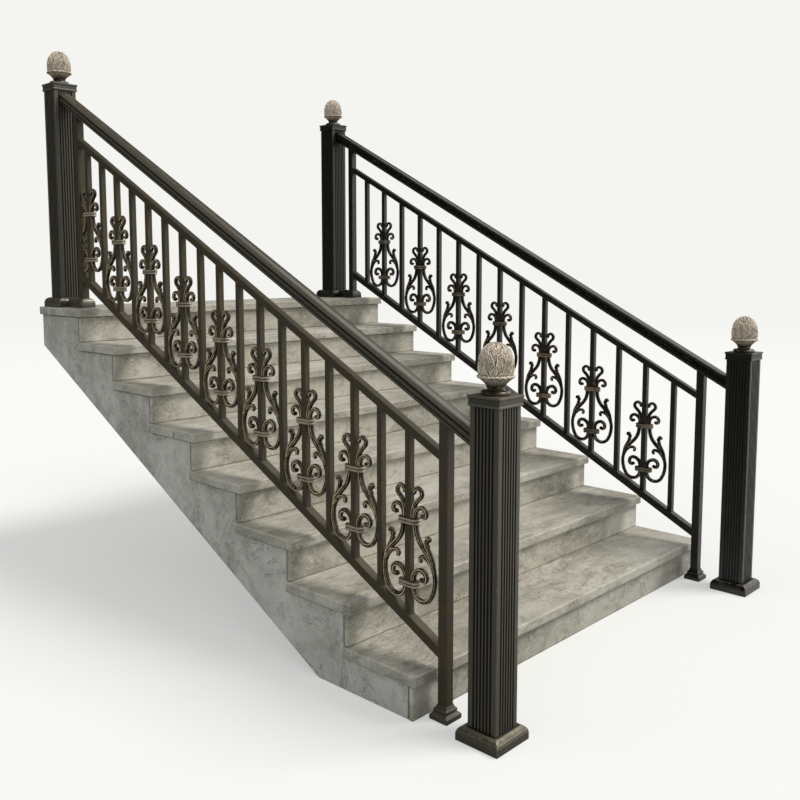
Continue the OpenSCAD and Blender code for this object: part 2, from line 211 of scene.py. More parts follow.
class StageLook(bpy.types.PropertyGroup):
    """Light, floor and backdrop"""

    key: share("Key", "Strength of the key lamp", 2.1, 10)
    key_from: direction("Key From", "Where the key lamp stands", 0.32, -0.46, 0.83)
    softness: FloatProperty(
        name="Softness", description="Angle of the key lamp", default=math.radians(27), subtype="ANGLE"
    )
    ambient: share("Ambient", "Strength of the even light from all round", 0.50, 2)
    open_side: direction("Open Side", "Where the even light is strongest", -0.96, -0.24, 0.1)
    front: direction("Front", "Where the mirrored room is pale", 0.62, -0.78, 0.05)
    front_glow: share("Front Glow", "Brightness of the mirrored room in front", 1.9, 10)
    panel: direction("Panel", "Where a bright panel is mirrored", 0.35, 0.05, 0.93)
    panel_glow: share("Panel Glow", "Brightness of the mirrored panel", 2.5, 10)
    backdrop: colour("Backdrop", "Tone of the backdrop", 244, 244, 241)
    near_floor: colour("Near Floor", "Tone of the floor round the steps", 248, 248, 246)
    floor_bounce: share("Floor Bounce", "How much light the floor gives back", 0.22)


LOOKS = {
    "balustrade_stone": StoneLook,
    "balustrade_metal": MetalLook,
    "balustrade_newel": NewelLook,
    "balustrade_finial": FinialLook,
    "balustrade_ornament": OrnamentLook,
    "balustrade_stage": StageLook,
}


def look(key):
    """Settings group of the scene"""
    return getattr(bpy.context.scene, "balustrade_" + key)


# ---------------------------------------------------------------- nodes and materials


class Nodes:
    """Short way to fill a node tree"""

    def __init__(self, tree):
        self.tree = tree

    def fill(self, node, inputs):
        """Sets a node's inputs, each to a value or to another node's output"""
        for key, value in inputs.items():
            if isinstance(value, bpy.types.NodeSocket):
                self.tree.links.new(value, node.inputs[key])
            else:
                node.inputs[key].default_value = value

    def add(self, kind, inputs=None, **settings):
        """Adds a node with its settings and inputs"""
        node = self.tree.nodes.new(kind)
        for key, value in settings.items():
            setattr(node, key, value)
        self.fill(node, inputs or {})
        return node

    def noise(self, vector, scale, detail=4.0, rough=0.55, distortion=0.0):
        """Fractal noise as a value"""
        inputs = {"Vector": vector, "Scale": scale, "Detail": detail}
        inputs.update({"Roughness": rough, "Distortion": distortion})
        return self.add("ShaderNodeTexNoise", inputs).outputs["Fac"]

    def math(self, operation, first, second=0.0):
        """One sum on two values"""
        return self.add("ShaderNodeMath", {0: first, 1: second}, operation=operation).outputs[0]

    def times(self, first, second):
        """Product of two values"""
        return self.math("MULTIPLY", first, second)

    def plus(self, first, second):
        """Sum of two values"""
        return self.math("ADD", first, second)

    def minus(self, first, second):
        """Difference of two values"""
        return self.math("SUBTRACT", first, second)

    def vector(self, operation, inputs):
        """Node for a sum on vectors"""
        return self.add("ShaderNodeVectorMath", inputs, operation=operation)

    def ramp(self, value, low, high, start=0.0, end=1.0):
        """Smooth step of a value"""
        inputs = {"Value": value, "From Min": low, "From Max": high, "To Min": start, "To Max": end}
        node = self.add("ShaderNodeMapRange", inputs, interpolation_type="SMOOTHSTEP")
        return node.outputs["Result"]

    def mix(self, factor, first, second):
        """Blend of two colours"""
        return self.add("ShaderNodeMix", {0: factor, 6: first, 7: second}, data_type="RGBA").outputs[2]

    def cover(self, tint, mask, strength, over):
        """Tint with another colour laid over it where a mask says"""
        return self.mix(self.times(mask, strength), tint, over)

    def ridge(self, pattern, level=0.5):
        """Distance of a pattern from one of its levels, small along winding lines"""
        return self.math("ABSOLUTE", self.minus(pattern, level))

    def dot(self, vector, heading):
        """How far a vector points along a heading"""
        return self.vector("DOT_PRODUCT", {0: vector, 1: heading}).outputs["Value"]

    def attribute(self, name):
        """Value stored on the mesh"""
        return self.add("ShaderNodeAttribute", attribute_name=name).outputs["Fac"]

    def group(self, tree, inputs):
        """Places a node group and returns its outputs"""
        node = self.add("ShaderNodeGroup", node_tree=tree)
        self.fill(node, inputs)
        return node.outputs

    def blend(self, factor, first, second):
        """Blend of two shaders"""
        inputs = {0: factor, 1: first.outputs[0], 2: second.outputs[0]}
        return self.add("ShaderNodeMixShader", inputs)


def node_tree(name, kind, inputs, outputs):
    """Turns a function that works out outputs from inputs into one that finds or builds a tree

    The inputs and outputs are the names of sockets, listed by their kind.
    """

    def keep(work_out):
        def find():
            tree = bpy.data.node_groups.get(name)
            if tree is None:
                tree = bpy.data.node_groups.new(name, kind)
                for in_out, sockets in (("INPUT", inputs), ("OUTPUT", outputs)):
                    for socket, labels in sockets.items():
                        for label in labels:
                            socket_type = "NodeSocket" + socket
                            tree.interface.new_socket(label, in_out=in_out, socket_type=socket_type)
                n = Nodes(tree)
                n.add("NodeGroupOutput", work_out(n, n.add("NodeGroupInput").outputs))
            return tree

        return find

    return keep


@node_tree(
    "Stone Figure",
    "ShaderNodeTree",
    {
        "Vector": ["Vector", "Stretch"],
        "Color": ["Dark", "Middle", "Pale", "Vein", "Seam"],
        "Float": ["Rub", "Joint"],
    },
    {"Color": ["Color"], "Float": ["Roughness", "Height"]},
)
def stone_figure(n, taken):
    """Clouds, veins and grain of honed stone"""
    base = n.vector("MULTIPLY", {0: taken["Vector"], 1: taken["Stretch"]}).outputs[0]
    wander = n.add("ShaderNodeTexNoise", {"Vector": base, "Scale": 3.0, "Detail": 4.0}).outputs["Color"]
    moved = n.vector("SUBTRACT", {0: wander, 1: (0.5, 0.5, 0.5)}).outputs[0]
    scaled = n.vector("SCALE", {0: moved, 3: 0.22}).outputs[0]
    warped = n.vector("ADD", {0: base, 1: scaled}).outputs[0]
    clouds = n.noise(warped, 3.2, 9.0, 0.66)
    blotches = n.noise(warped, 15.0, 7.0, 0.68)
    mottle = n.noise(base, 48.0, 5.0, 0.7)
    fleck = n.noise(warped, 120.0, 5.0, 0.75)
    grain = n.noise(taken["Vector"], 260.0, 3.0, 0.6)
    tint = n.mix(n.ramp(clouds, 0.36, 0.54), taken["Dark"], taken["Middle"])
    tint = n.mix(n.ramp(clouds, 0.50, 0.68), tint, taken["Pale"])
    patterns = (
        (blotches, 0.50, 0.64, 0.62, "Dark"),
        (blotches, 0.48, 0.34, 0.45, "Pale"),
        (mottle, 0.52, 0.66, 0.32, "Dark"),
        (mottle, 0.47, 0.34, 0.36, "Pale"),
        (fleck, 0.53, 0.66, 0.38, "Dark"),
        (fleck, 0.46, 0.34, 0.38, "Pale"),
    )
    for pattern, low, high, strength, label in patterns:
        tint = n.cover(tint, n.ramp(pattern, low, high), strength, taken[label])
    winding = n.ridge(n.noise(warped, 2.4, 10.0, 0.72, 0.4))
    pale_vein = n.times(n.ramp(winding, 0.012, 0.001), n.ramp(blotches, 0.60, 0.44))
    tint = n.cover(tint, pale_vein, 0.55, taken["Vein"])
    winding = n.ridge(n.noise(warped, 3.6, 10.0, 0.74, 0.7), 0.47)
    seam = n.times(n.ramp(winding, 0.011, 0.002), n.ramp(blotches, 0.38, 0.52))
    tint = n.cover(tint, seam, 0.56, taken["Seam"])
    pits = n.ramp(n.noise(base, 95.0, 2.0, 0.5), 0.66, 0.76)
    tint = n.cover(tint, pits, 0.35, taken["Seam"])
    edge = n.plus(taken["Rub"], n.times(mottle, 0.6))
    tint = n.cover(tint, n.ramp(edge, 1.0, 1.45), 0.32, taken["Vein"])
    # Joint holds the dark joints and the painted shade under the slabs
    tint = n.cover(tint, taken["Joint"], 0.85, taken["Seam"])
    rough = n.ramp(blotches, 0.3, 0.7, 0.44, 0.58)
    height = n.plus(n.times(mottle, 0.7), n.times(grain, 0.4))
    height = n.minus(height, n.plus(n.times(seam, 0.6), pits))
    return {"Color": tint, "Roughness": rough, "Height": height}


@node_tree(
    "Step Joints",
    "ShaderNodeTree",
    {
        "Vector": ["Vector"],
        "Float": ["Start", "Rise", "Going", "Slab", "Riser", "Width", "Shade", "On Risers"],
    },
    {"Float": ["Joint"]},
)
def step_joints_and_shade(n, taken):
    """Dark joints on top of the slabs and beside the risers, and a band of painted shade under the slabs,
    from the steps' sizes
    """
    where = n.add("ShaderNodeSeparateXYZ", {0: taken["Vector"]}).outputs
    along = n.minus(where["Y"], taken["Start"])
    step = n.math("FLOOR", n.math("DIVIDE", n.plus(along, MM), taken["Going"]))
    foot = n.times(step, taken["Rise"])
    under = n.minus(n.minus(n.plus(foot, taken["Rise"]), taken["Slab"]), where["Z"])
    above = n.minus(where["Z"], foot)
    back = n.minus(n.minus(along, n.times(step, taken["Going"])), taken["Riser"])

    def line(distance, width):
        return n.ramp(distance, 0.0, width, 1.0, 0.0)

    low = n.times(line(n.math("ABSOLUTE", above), taken["Width"]), taken["On Risers"])
    upright = n.times(line(n.math("ABSOLUTE", back), taken["Width"]), n.math("GREATER_THAN", above, 0.0))
    # The band under each slab is painted shade
    lower = n.math("MAXIMUM", line(under, taken["Shade"]), low)
    return {"Joint": n.math("MAXIMUM", lower, upright)}


@node_tree(
    "Rubbed Metal",
    "ShaderNodeTree",
    {
        "Vector": ["Vector"],
        "Color": ["Base", "Warm", "Worn"],
        "Float": ["Rub", "Recess", "Wear", "Polish"],
    },
    {"Color": ["Color"], "Float": ["Roughness", "Metallic", "Height"]},
)
def rubbed_metal(n, taken):
    """Clouded coat that is rubbed through on raised edges, with painted shade laid over its recesses"""
    broad = n.noise(taken["Vector"], 9.0, 5.0, 0.6)
    patches = n.noise(taken["Vector"], 46.0, 4.0, 0.6)
    fine = n.noise(taken["Vector"], 260.0, 3.0, 0.6)
    tint = n.mix(n.ramp(broad, 0.40, 0.66), taken["Base"], taken["Warm"])
    tint = n.cover(tint, n.ramp(patches, 0.45, 0.7), 0.5, taken["Base"])
    spread = n.plus(n.times(patches, 0.9), n.times(fine, 0.5))
    reach = n.plus(n.times(taken["Rub"], taken["Wear"]), n.times(spread, 0.7))
    worn = n.times(n.ramp(reach, 0.74, 1.06), n.math("MINIMUM", n.times(taken["Rub"], 2.0), 1.0))
    tint = n.mix(worn, tint, taken["Worn"])
    # Painted shade: the recess value darkens the coat in flutes, grooves and hollows
    tint = n.cover(tint, taken["Recess"], 0.94, RECESS_SHADE)
    rough = n.plus(n.ramp(patches, 0.3, 0.7, 0.36, 0.50), n.times(worn, -0.08))
    rough = n.plus(rough, n.times(taken["Recess"], 0.3))
    rough = n.minus(rough, taken["Polish"])
    height = n.plus(n.times(patches, 0.5), n.times(fine, 0.5))
    return {"Color": tint, "Roughness": rough, "Metallic": n.times(worn, 0.5), "Height": height}


def emptied(owner):
    """Short way to fill the node tree of a material or world, which is emptied"""
    owner.use_nodes = True
    owner.node_tree.nodes.clear()
    return Nodes(owner.node_tree)


def new_material(name):
    """Material with an empty tree; returns it with its nodes, shader and Object coordinates"""
    material = bpy.data.materials.new(name)
    n = emptied(material)
    shader = n.add("ShaderNodeBsdfPrincipled")
    n.add("ShaderNodeOutputMaterial", {"Surface": shader.outputs[0]})
    where = n.add("ShaderNodeTexCoord").outputs["Object"]
    return material, n, shader, where


def finish_surface(n, shader, inputs, specular, height, strength, distance):
    """Sets a shader's inputs, with fine relief from a height"""
    bump = n.add("ShaderNodeBump", {"Height": height, "Strength": strength, "Distance": distance})
    n.fill(shader, {**inputs, "Specular IOR Level": specular, "Normal": bump.outputs["Normal"]})


def step_sizes():
    """Sizes that place the joints of the steps"""
    riser_front, body_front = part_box("risers")[0].y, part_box("flight_body")[0].y
    first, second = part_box("tread_1"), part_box("tread_2")
    s = look("stone")
    return {
        "Start": riser_front,
        "Rise": second[0].z - first[0].z,
        "Going": second[0].y - first[0].y,
        "Slab": first[1].z - first[0].z,
        "Riser": body_front - riser_front,
        "Width": s.joint,
        "Shade": s.under_shade,
    }


def stone_material(name, tones, stretch, joints=None):
    """Honed stone; joints is 1 for the risers, 0 for the body and None for the slabs, which have none"""
    s = look("stone")
    material, n, shader, where = new_material(name)
    joint = 0.0
    if joints is not None:
        placed = {"Vector": where, "On Risers": joints, **step_sizes()}
        joint = n.group(step_joints_and_shade(), placed)["Joint"]
    # Painted light: the slabs' upright faces take the paler riser tones
    upright = n.attribute("upright")
    figure = {"Vector": where, "Stretch": stretch, "Vein": s.vein, "Seam": s.seam}
    for label, own, of_riser in zip(("Dark", "Middle", "Pale"), tones, riser_tones()):
        figure[label] = n.mix(upright, own, of_riser)
    made = n.group(stone_figure(), {**figure, "Rub": n.attribute("rub"), "Joint": joint})
    inputs = {"Base Color": made["Color"], "Roughness": made["Roughness"]}
    finish_surface(n, shader, inputs, 0.35, made["Height"], 0.35, 2 * MM)
    return material


def riser_tones():
    """Dark, middle and pale tone of the risers, also laid on the upright faces of the slabs as painted
    light
    """
    s = look("stone")
    return (s.riser_dark, s.riser_mid, s.riser_pale)


def metal_material(name, tones, wear, specular, bump, polish=0.0):
    """Coated or bare metal, rubbed along its edges; tones are its base, warm and worn ones"""
    material, n, shader, where = new_material(name)
    values = dict(zip(("Base", "Warm", "Worn"), tones))
    values.update({"Vector": where, "Wear": wear, "Polish": polish})
    values.update({"Rub": n.attribute("rub"), "Recess": n.attribute("recess")})
    made = n.group(rubbed_metal(), values)
    inputs = {"Base Color": made["Color"], "Roughness": made["Roughness"], "Metallic": made["Metallic"]}
    finish_surface(n, shader, inputs, specular, made["Height"], bump, MM)
    return material


def shaded(full, left):
    """A tone with only a share of its light left"""
    return [*(left * part for part in full[:3]), 1.0]


def coat(kind, side):
    """The dark coat of one side's newels, caps, bases, rails, handrails or necks"""
    name = kind + "_coat_" + side
    if name not in bpy.data.materials:
        m = look("metal")
        newel = (m.newel_dark, m.newel_warm)
        # Two tones, their shade on both sides and their painted shade on the right, how far they mirror,
        # how smooth they are
        (dark, warm), shade, right_painted_shade, specular, polish = {
            "newel": (newel, 1.0, m.right_painted_shade, 0.42, 0.03),
            "cap": (newel, m.cap_shade, m.right_painted_shade, 0.48, 0.03),
            "base": (newel, m.base_shade, m.right_painted_shade, 0.70, 0.12),
            "rail": ((m.rail_dark, m.rail_warm), 1.0, m.right_rail_painted_shade, 0.28, 0.03),
            "handrail": (newel, 1.0, m.right_rail_painted_shade, 0.55, 0.20),
            "neck": ((m.neck_dark, m.rail_warm), 1.0, 1.0, 0.75, 0.30),
        }[kind]
        # Painted shade: the right side's coat is darkened against the left's
        if side == "right" and kind != "neck":
            shade *= right_painted_shade
            specular = 0.50
        bump = 0.015 if kind == "handrail" else 0.06
        # The near bases rub further: wear and a painted highlight on their shoulders
        wear = m.base_wear_and_sheen if name == "base_coat_left" else m.wear
        tones = (shaded(dark, shade), shaded(warm, shade), m.worn)
        metal_material(name, tones, wear, specular, bump, polish)
    return bpy.data.materials[name]


# ---------------------------------------------------------------- meshes


def opened(*meshes):
    """Bmesh with the contents of some meshes, and what they store"""
    bm = bmesh.new()
    for mesh in meshes:
        bm.from_mesh(mesh)
    return bm


def written(bm, mesh):
    """The mesh, now holding what the bmesh held, which is freed"""
    bm.to_mesh(mesh)
    bm.free()
    return mesh


def settled(name, bm):
    """New mesh with what a bmesh holds"""
    return written(bm, bpy.data.meshes.new(name))


def outward(mesh):
    """The same mesh with its faces turned outward"""
    bm = opened(mesh)
    bmesh.ops.recalc_face_normals(bm, faces=bm.faces)
    return written(bm, mesh)


def mesh_of(name, points, faces):
    """Mesh with its faces turned outward"""
    mesh = bpy.data.meshes.new(name)
    mesh.from_pydata([tuple(p) for p in points], [], [tuple(f) for f in faces])
    return outward(mesh)


def store(mesh, name, values):
    """Keeps one value for each point of a mesh"""
    layer = mesh.attributes.get(name) or mesh.attributes.new(name, "FLOAT", "POINT")
    layer.data.foreach_set("value", np.asarray(values, np.float32))


def joined(name, meshes):
    """One mesh from several, with their stored values"""
    return settled(name, opened(*meshes))


def place_piece(name, mesh, material, nodes, sharp=35.0):
    """Shows a mesh as a piece that rides on the part and stands for its CAD nodes"""
    mesh.materials.clear()
    mesh.materials.append(material)
    mesh.polygons.foreach_set("material_index", [0] * len(mesh.polygons))
    mesh.polygons.foreach_set("use_smooth", [True] * len(mesh.polygons))
    mesh.set_sharp_from_angle(angle=math.radians(sharp))
    piece = bpy.data.objects.new(name, mesh)
    bpy.context.scene.collection.objects.link(piece)
    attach(piece, "root")
    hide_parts(*nodes)


def dark_piece(name, meshes, kind, side, nodes, sharp=35.0):
    """Shows meshes of one side as one piece with a dark coat"""
    place_piece(name, joined(name, meshes), coat(kind, side), nodes, sharp)


def eased(name, bm, ease, border, segments=2):
    """Rounds the edges of a solid and leaves a rubbed rim inside each flat face"""
    rub = bm.verts.layers.float.new("rub")
    sharp = math.radians(30)
    edges = [e for e in bm.edges if e.is_manifold and e.calc_face_angle(0) > sharp]
    made = bmesh.ops.bevel(
        bm,
        geom=edges,
        offset=ease,
        offset_type="OFFSET",
        segments=segments,
        profile=0.5,
        affect="EDGES",
        clamp_overlap=True,
    )
    for vert in made["verts"]:
        vert[rub] = 1.0
    broad = [f for f in bm.faces if f.calc_area() > 3 * border * max(e.calc_length() for e in f.edges)]
    bmesh.ops.inset_individual(bm, faces=broad, thickness=border, use_even_offset=True)
    for face in broad:
        for vert in face.verts:
            vert[rub] = 0.0
    return settled(name, bm)


def eased_copy(node, ease, border):
    """Eased copy of a CAD node"""
    bm = opened(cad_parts[node].data)
    bmesh.ops.remove_doubles(bm, verts=bm.verts, dist=WELD)
    bmesh.ops.dissolve_limit(bm, angle_limit=math.radians(0.4), verts=bm.verts, edges=bm.edges)
    bmesh.ops.recalc_face_normals(bm, faces=bm.faces)
    return eased(node + "_eased", bm, ease, border)


def eased_block(node, ease, border):
    """Eased block that fills the box of a CAD node"""
    low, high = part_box(node)
    bm = bmesh.new()
    place = Matrix.Translation((low + high) / 2) @ Matrix.Diagonal((*(high - low), 1.0))
    bmesh.ops.create_cube(bm, size=1.0, matrix=place)
    return eased(node + "_block", bm, ease, border, 3)


def loft(name, rings, rubs, recesses):
    """Closed skin over rings of equal length, with how rubbed and how deep each point is"""
    count = len(rings[0])
    points = [p for ring in rings for p in ring]
    faces = []
    for row in range(0, len(points) - count, count):
        for i in range(count):
            j = (i + 1) % count
            faces.append((row + i, row + j, row + count + j, row + count + i))
    faces.append(tuple(range(count)))
    faces.append(tuple(range(len(points) - count, len(points))))
    mesh = mesh_of(name, points, faces)
    store(mesh, "rub", rubs)
    # The recess values lay painted shade on the coat
    store(mesh, "recess", recesses)
    return mesh


def drawn_out(name, rings, outline):
    """Skin over rings that all have the rub and recess of one outline"""
    rubs, recesses = ([point[i] for _ in rings for point in outline] for i in (2, 3))
    return loft(name, rings, rubs, recesses)


def moulded(low, high, profile):
    """Square moulding between two corners; each ring is (inset, height, rub, recess), in millimetres"""
    corner, strip = 1.4 * MM, 4.0 * MM
    quarter = math.pi / 2
    stops = ((0, strip, 0), (0, 0, 1), (quarter / 2, 0, 1), (quarter, 0, 1), (quarter, -strip, 0))
    mid = (low + high) / 2
    rings, rubs, recesses = [], [], []
    for inset, height, rub, deep in profile:
        x0, y0 = low.x + inset * MM, low.y + inset * MM
        x1, y1 = high.x - inset * MM, high.y - inset * MM
        ring = []
        for cx, cy, turn in ((x1, y0, -1), (x1, y1, 0), (x0, y1, 1), (x0, y0, 2)):
            middle_x = cx - math.copysign(corner, cx - mid.x)
            middle_y = cy - math.copysign(corner, cy - mid.y)
            for bend, back, worn in stops:
                a = turn * quarter + bend
                x = middle_x + corner * math.cos(a) + back * math.cos(a - quarter)
                y = middle_y + corner * math.sin(a) + back * math.sin(a - quarter)
                ring.append((x, y, low.z + height * MM))
                rubs.append(max(rub, worn * 0.9))
                recesses.append(deep)
        rings.append(ring)
    return loft("moulding", rings, rubs, recesses)


def flight_slope():
    """Rise over going of the flight"""
    low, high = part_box("tread_1")[0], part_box("tread_2")[0]
    return (high.z - low.z) / (high.y - low.y)


SLOPE = flight_slope()
PITCH = math.atan(SLOPE)


# ---------------------------------------------------------------- geometry trees


def made_real(n, shape, material):
    """Outputs of a geometry tree: a shape that is made real and has its material"""
    real = n.add("GeometryNodeRealizeInstances", {"Geometry": shape.outputs[0]})
    done = n.add("GeometryNodeSetMaterial", {"Geometry": real.outputs[0], "Material": material})
    return {"Geometry": done.outputs[0]}


@node_tree(
    "Repeat In A Row",
    "GeometryNodeTree",
    {"Geometry": ["Geometry"], "Int": ["Count"], "Vector": ["Step"], "Material": ["Material"]},
    {"Geometry": ["Geometry"]},
)
def repeat_tree(n, taken):
    """Repeats a shape in a straight row"""
    row = n.add("GeometryNodeMeshLine", {"Count": taken["Count"], "Offset": taken["Step"]}, mode="OFFSET")
    placed = {"Points": row.outputs[0], "Instance": taken["Geometry"]}
    return made_real(n, n.add("GeometryNodeInstanceOnPoints", placed), taken["Material"])


@node_tree(
    "Bars Along Lines",
    "GeometryNodeTree",
    {"Geometry": ["Geometry"], "Object": ["Section"], "Vector": ["Facing"], "Material": ["Material"]},
    {"Geometry": ["Geometry"]},
)
def bar_tree(n, taken):
    """Draws a bar along each line of the base mesh; the bar's size follows the stored value bar_size"""
    size = n.add("GeometryNodeInputNamedAttribute", {"Name": "bar_size"}, data_type="FLOAT").outputs[0]
    lines = n.add("GeometryNodeMeshToCurve", {"Mesh": taken["Geometry"]})
    facing = {"Curve": lines.outputs[0], "Normal": taken["Facing"]}
    held = n.add("GeometryNodeSetCurveNormal", facing, mode="FREE").outputs[0]
    shape = n.add("GeometryNodeObjectInfo", {"Object": taken["Section"]})
    outline = n.add("GeometryNodeMeshToCurve", {"Mesh": shape.outputs["Geometry"]}).outputs[0]
    bars = {"Curve": held, "Profile Curve": outline, "Scale": size, "Fill Caps": True}
    return made_real(n, n.add("GeometryNodeCurveToMesh", bars), taken["Material"])


def grown(mesh, tree, values):
    """Plain mesh that a geometry tree makes from a base mesh"""
    base = bpy.data.objects.new(mesh.name + "_base", mesh)
    bpy.context.scene.collection.objects.link(base)
    modifier = base.modifiers.new("Build", "NODES")
    modifier.node_group = tree
    for item in tree.interface.items_tree:
        if item.item_type == "SOCKET" and item.in_out == "INPUT" and item.name in values:
            modifier[item.identifier] = values[item.name]
    bpy.context.view_layer.update()
    graph = bpy.context.evaluated_depsgraph_get()
    result = bpy.data.meshes.new_from_object(base.evaluated_get(graph), depsgraph=graph)
    base.modifiers.remove(modifier)
    bpy.data.objects.remove(base)
    if not result.polygons:
        raise RuntimeError("the tree " + tree.name + " made nothing")
    return result


# ---------------------------------------------------------------- stone flight


class BALUSTRADE_OT_stone_flight(bpy.types.Operator):
    """Builds the body, the risers and the tread slabs of the flight"""

    bl_idname = "balustrade.stone_flight"
    bl_label = "Stone Flight"

    def execute(self, context):
        s = look("stone")
        tread_tones = (s.tread_dark, s.tread_mid, s.tread_pale)
        body_tones = (s.body_dark, s.body_mid, s.body_pale)
        treads = stone_material("tread_stone", tread_tones, (0.45, 1.0, 1.0))
        sides = stone_material("body_stone", body_tones, (1.0, 1.0, 1.0), 0.0)
        faces = stone_material("riser_stone", riser_tones(), (0.7, 1.0, 1.0), 1.0)
        body = eased_copy("flight_body", s.edge_round, s.edge_border)
        place_piece("stone_body", body, sides, ["flight_body"])
        risers = eased_copy("risers", s.edge_round * 0.4, s.edge_border * 0.6)
        place_piece("stone_risers", risers, faces, ["risers"])
        slabs = ["tread_%d" % (i + 1) for i in range(STEPS)]
        blocks = [eased_block(slab, s.edge_round, s.edge_border) for slab in slabs]
        # Marks the slabs' upright faces, which get the paler riser tones as painted light
        for block in blocks:
            spots = [vert.co for vert in block.vertices]
            front = min(spot.y for spot in spots) + MM
            side = max(spot.x for spot in spots) - MM
            upright = [1.0 if spot.y < front or abs(spot.x) > side else 0.0 for spot in spots]
            store(block, "upright", upright)
        place_piece("stone_treads", joined("tread_slabs", blocks), treads, slabs)
        return {"FINISHED"}


# ---------------------------------------------------------------- newels


def fluted_outline(width, count, flute_width, depth, margin):
    """Outline of a fluted square shaft, with how rubbed and how deep each point is"""
    half = width / 2
    corner, rim, shoulder = 1.6 * MM, 5 * MM, 0.7 * MM
    pitch = (width - 2 * margin) / count
    r = flute_width / 2
    side = [(-half + corner, half, 1.0, 0.0), (-half + rim, half, 0.0, 0.0)]
    for i in range(count):
        u = (i + 0.5) * pitch - (half - margin)
        floor = half - depth + r
        side.append((u - r - shoulder, half, 0.55, 0.0))
        side.append((u - r, half - shoulder, 0.35, 0.25))
        for step in range(7):
            a = math.pi * (1 + step / 6)
            v = min(floor + r * math.sin(a), half - shoulder * 1.5)
            # Flute floors get recess 1: painted shade in the flutes
            side.append((u + r * math.cos(a), v, 0.0, 1.0))
        side.append((u + r, half - shoulder, 0.35, 0.25))
        side.append((u + r + shoulder, half, 0.55, 0.0))
    side.append((half - rim, half, 0.0, 0.0))
    side.append((half - corner, half, 1.0, 0.0))
    side.append((half - corner * 0.29, half - corner * 0.29, 1.0, 0.0))
    outline = []
    for turn in range(4):
        c, s = math.cos(-turn * math.pi / 2), math.sin(-turn * math.pi / 2)
        outline += [(c * u - s * v, s * u + c * v, rub, deep) for u, v, rub, deep in side]
    return outline


def newel_shaft(node):
    """Fluted shaft between a newel's base and its cap"""
    s = look("newel")
    low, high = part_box(node)
    width = high.x - low.x
    mid = (low + high) / 2
    outline = fluted_outline(width, s.flutes, s.flute_width, s.flute_depth, s.margin)
    end = 20 * MM
    levels = (low.z, low.z + end, high.z - end, high.z)
    rings = [[(mid.x + x, mid.y + y, z) for x, y, _, _ in outline] for z in levels]
    return drawn_out(node + "_shaft", rings, outline)


# Mouldings from the foot up: each point is (inset, height, rub, recess), in millimetres; the recess lays
# painted shade in the hollows
# The high rub along the base's rounded shoulder is wear and a painted highlight
NEWEL_BASE = [
    (0.6, 0.0, 0.2, 0.0), (0.0, 1.5, 0.1, 0.0), (0.0, 22.5, 0.1, 0.0), (0.3, 24.6, 1.2, 0.0),
    (1.2, 25.8, 0.1, 0.3), (1.4, 27.2, 0.1, 0.0), (2.4, 30.6, 1.15, 0.0), (4.6, 34.6, 0.7, 0.0),
    (8.0, 38.4, 0.8, 0.0), (12.0, 41.4, 1.1, 0.0), (16.0, 43.2, 1.1, 0.0), (19.0, 44.0, 0.3, 0.0),
    (21.0, 43.4, 0.0, 0.8), (26.4, 42.6, 0.0, 1.0),
]
NEWEL_CAP = [
    (3.4, 0.0, 0.1, 0.3), (2.2, 0.6, 0.5, 0.0), (1.8, 1.6, 0.7, 0.0), (1.8, 5.8, 0.1, 0.0),
    (2.4, 6.8, 0.3, 0.0), (3.0, 7.6, 0.0, 0.5), (3.0, 23.2, 0.0, 0.5), (2.2, 24.2, 0.1, 0.6),
    (0.7, 25.0, 0.2, 0.2), (0.0, 26.0, 0.6, 0.0), (0.0, 30.6, 0.5, 0.0), (0.7, 31.7, 1.0, 0.0),
    (1.8, 32.0, 0.4, 0.0), (7.0, 32.0, 0.0, 0.0),
]
POST_FOOT = [
    (0.5, 0.0, 0.1, 0.0), (0.0, 1.4, 0.1, 0.0), (0.0, 13.2, 0.1, 0.0), (0.4, 15.0, 0.8, 0.0),
    (1.6, 16.0, 0.8, 0.0), (7.6, 22.2, 0.3, 0.0), (8.8, 23.2, 0.9, 0.0), (10.4, 23.8, 0.0, 0.9),
    (10.6, 25.2, 0.0, 0.9), (9.4, 26.4, 0.4, 0.2), (8.9, 30.6, 0.1, 0.0), (9.3, 33.2, 0.8, 0.0),
    (10.6, 34.6, 0.8, 0.0), (13.0, 36.0, 0.0, 0.5), (16.0, 41.4, 0.0, 0.2), (16.6, 44.6, 0.6, 0.0),
    (17.6, 46.0, 0.3, 0.2), (19.4, 46.0, 0.0, 1.0),
]


def top_foot(side):
    """Moulding that carries the top end post, in front of the top newel's base"""
    low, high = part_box("top_newel_base_" + side)
    foot_low, foot_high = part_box("bottom_post_foot_" + side)
    back = (high.y + low.y) / 2 + (foot_high.y - foot_low.y) / 2
    ends = Vector((foot_low.x, low.y, low.z)), Vector((foot_high.x, back, high.z))
    return moulded(*ends, NEWEL_BASE[:-2])


def top_base(side):
    """Moulded base of the top newel itself"""
    low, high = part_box("top_newel_base_" + side)
    start = high.y - (high.x - low.x)
    return moulded(Vector((low.x, start, low.z)), high, NEWEL_BASE)


class BALUSTRADE_OT_newels(bpy.types.Operator):
    """Builds the fluted newels with their bases and caps"""

    bl_idname = "balustrade.newels"
    bl_label = "Newels"

    def execute(self, context):
        for side in SIDES:
            shafts = ["bottom_newel_" + side, "top_newel_" + side]
            bases = ["bottom_newel_base_" + side, "top_newel_base_" + side]
            caps = ["bottom_newel_cap_" + side, "top_newel_cap_" + side]
            bodies = [newel_shaft(node) for node in shafts]
            feet = [moulded(*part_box(bases[0]), NEWEL_BASE), top_base(side), top_foot(side)]
            lids = [moulded(*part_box(node), NEWEL_CAP) for node in caps]
            dark_piece("newel_shafts_" + side, bodies, "newel", side, shafts)
            dark_piece("newel_bases_" + side, feet, "base", side, bases)
            dark_piece("newel_caps_" + side, lids, "cap", side, caps)
        return {"FINISHED"}


# ---------------------------------------------------------------- finials


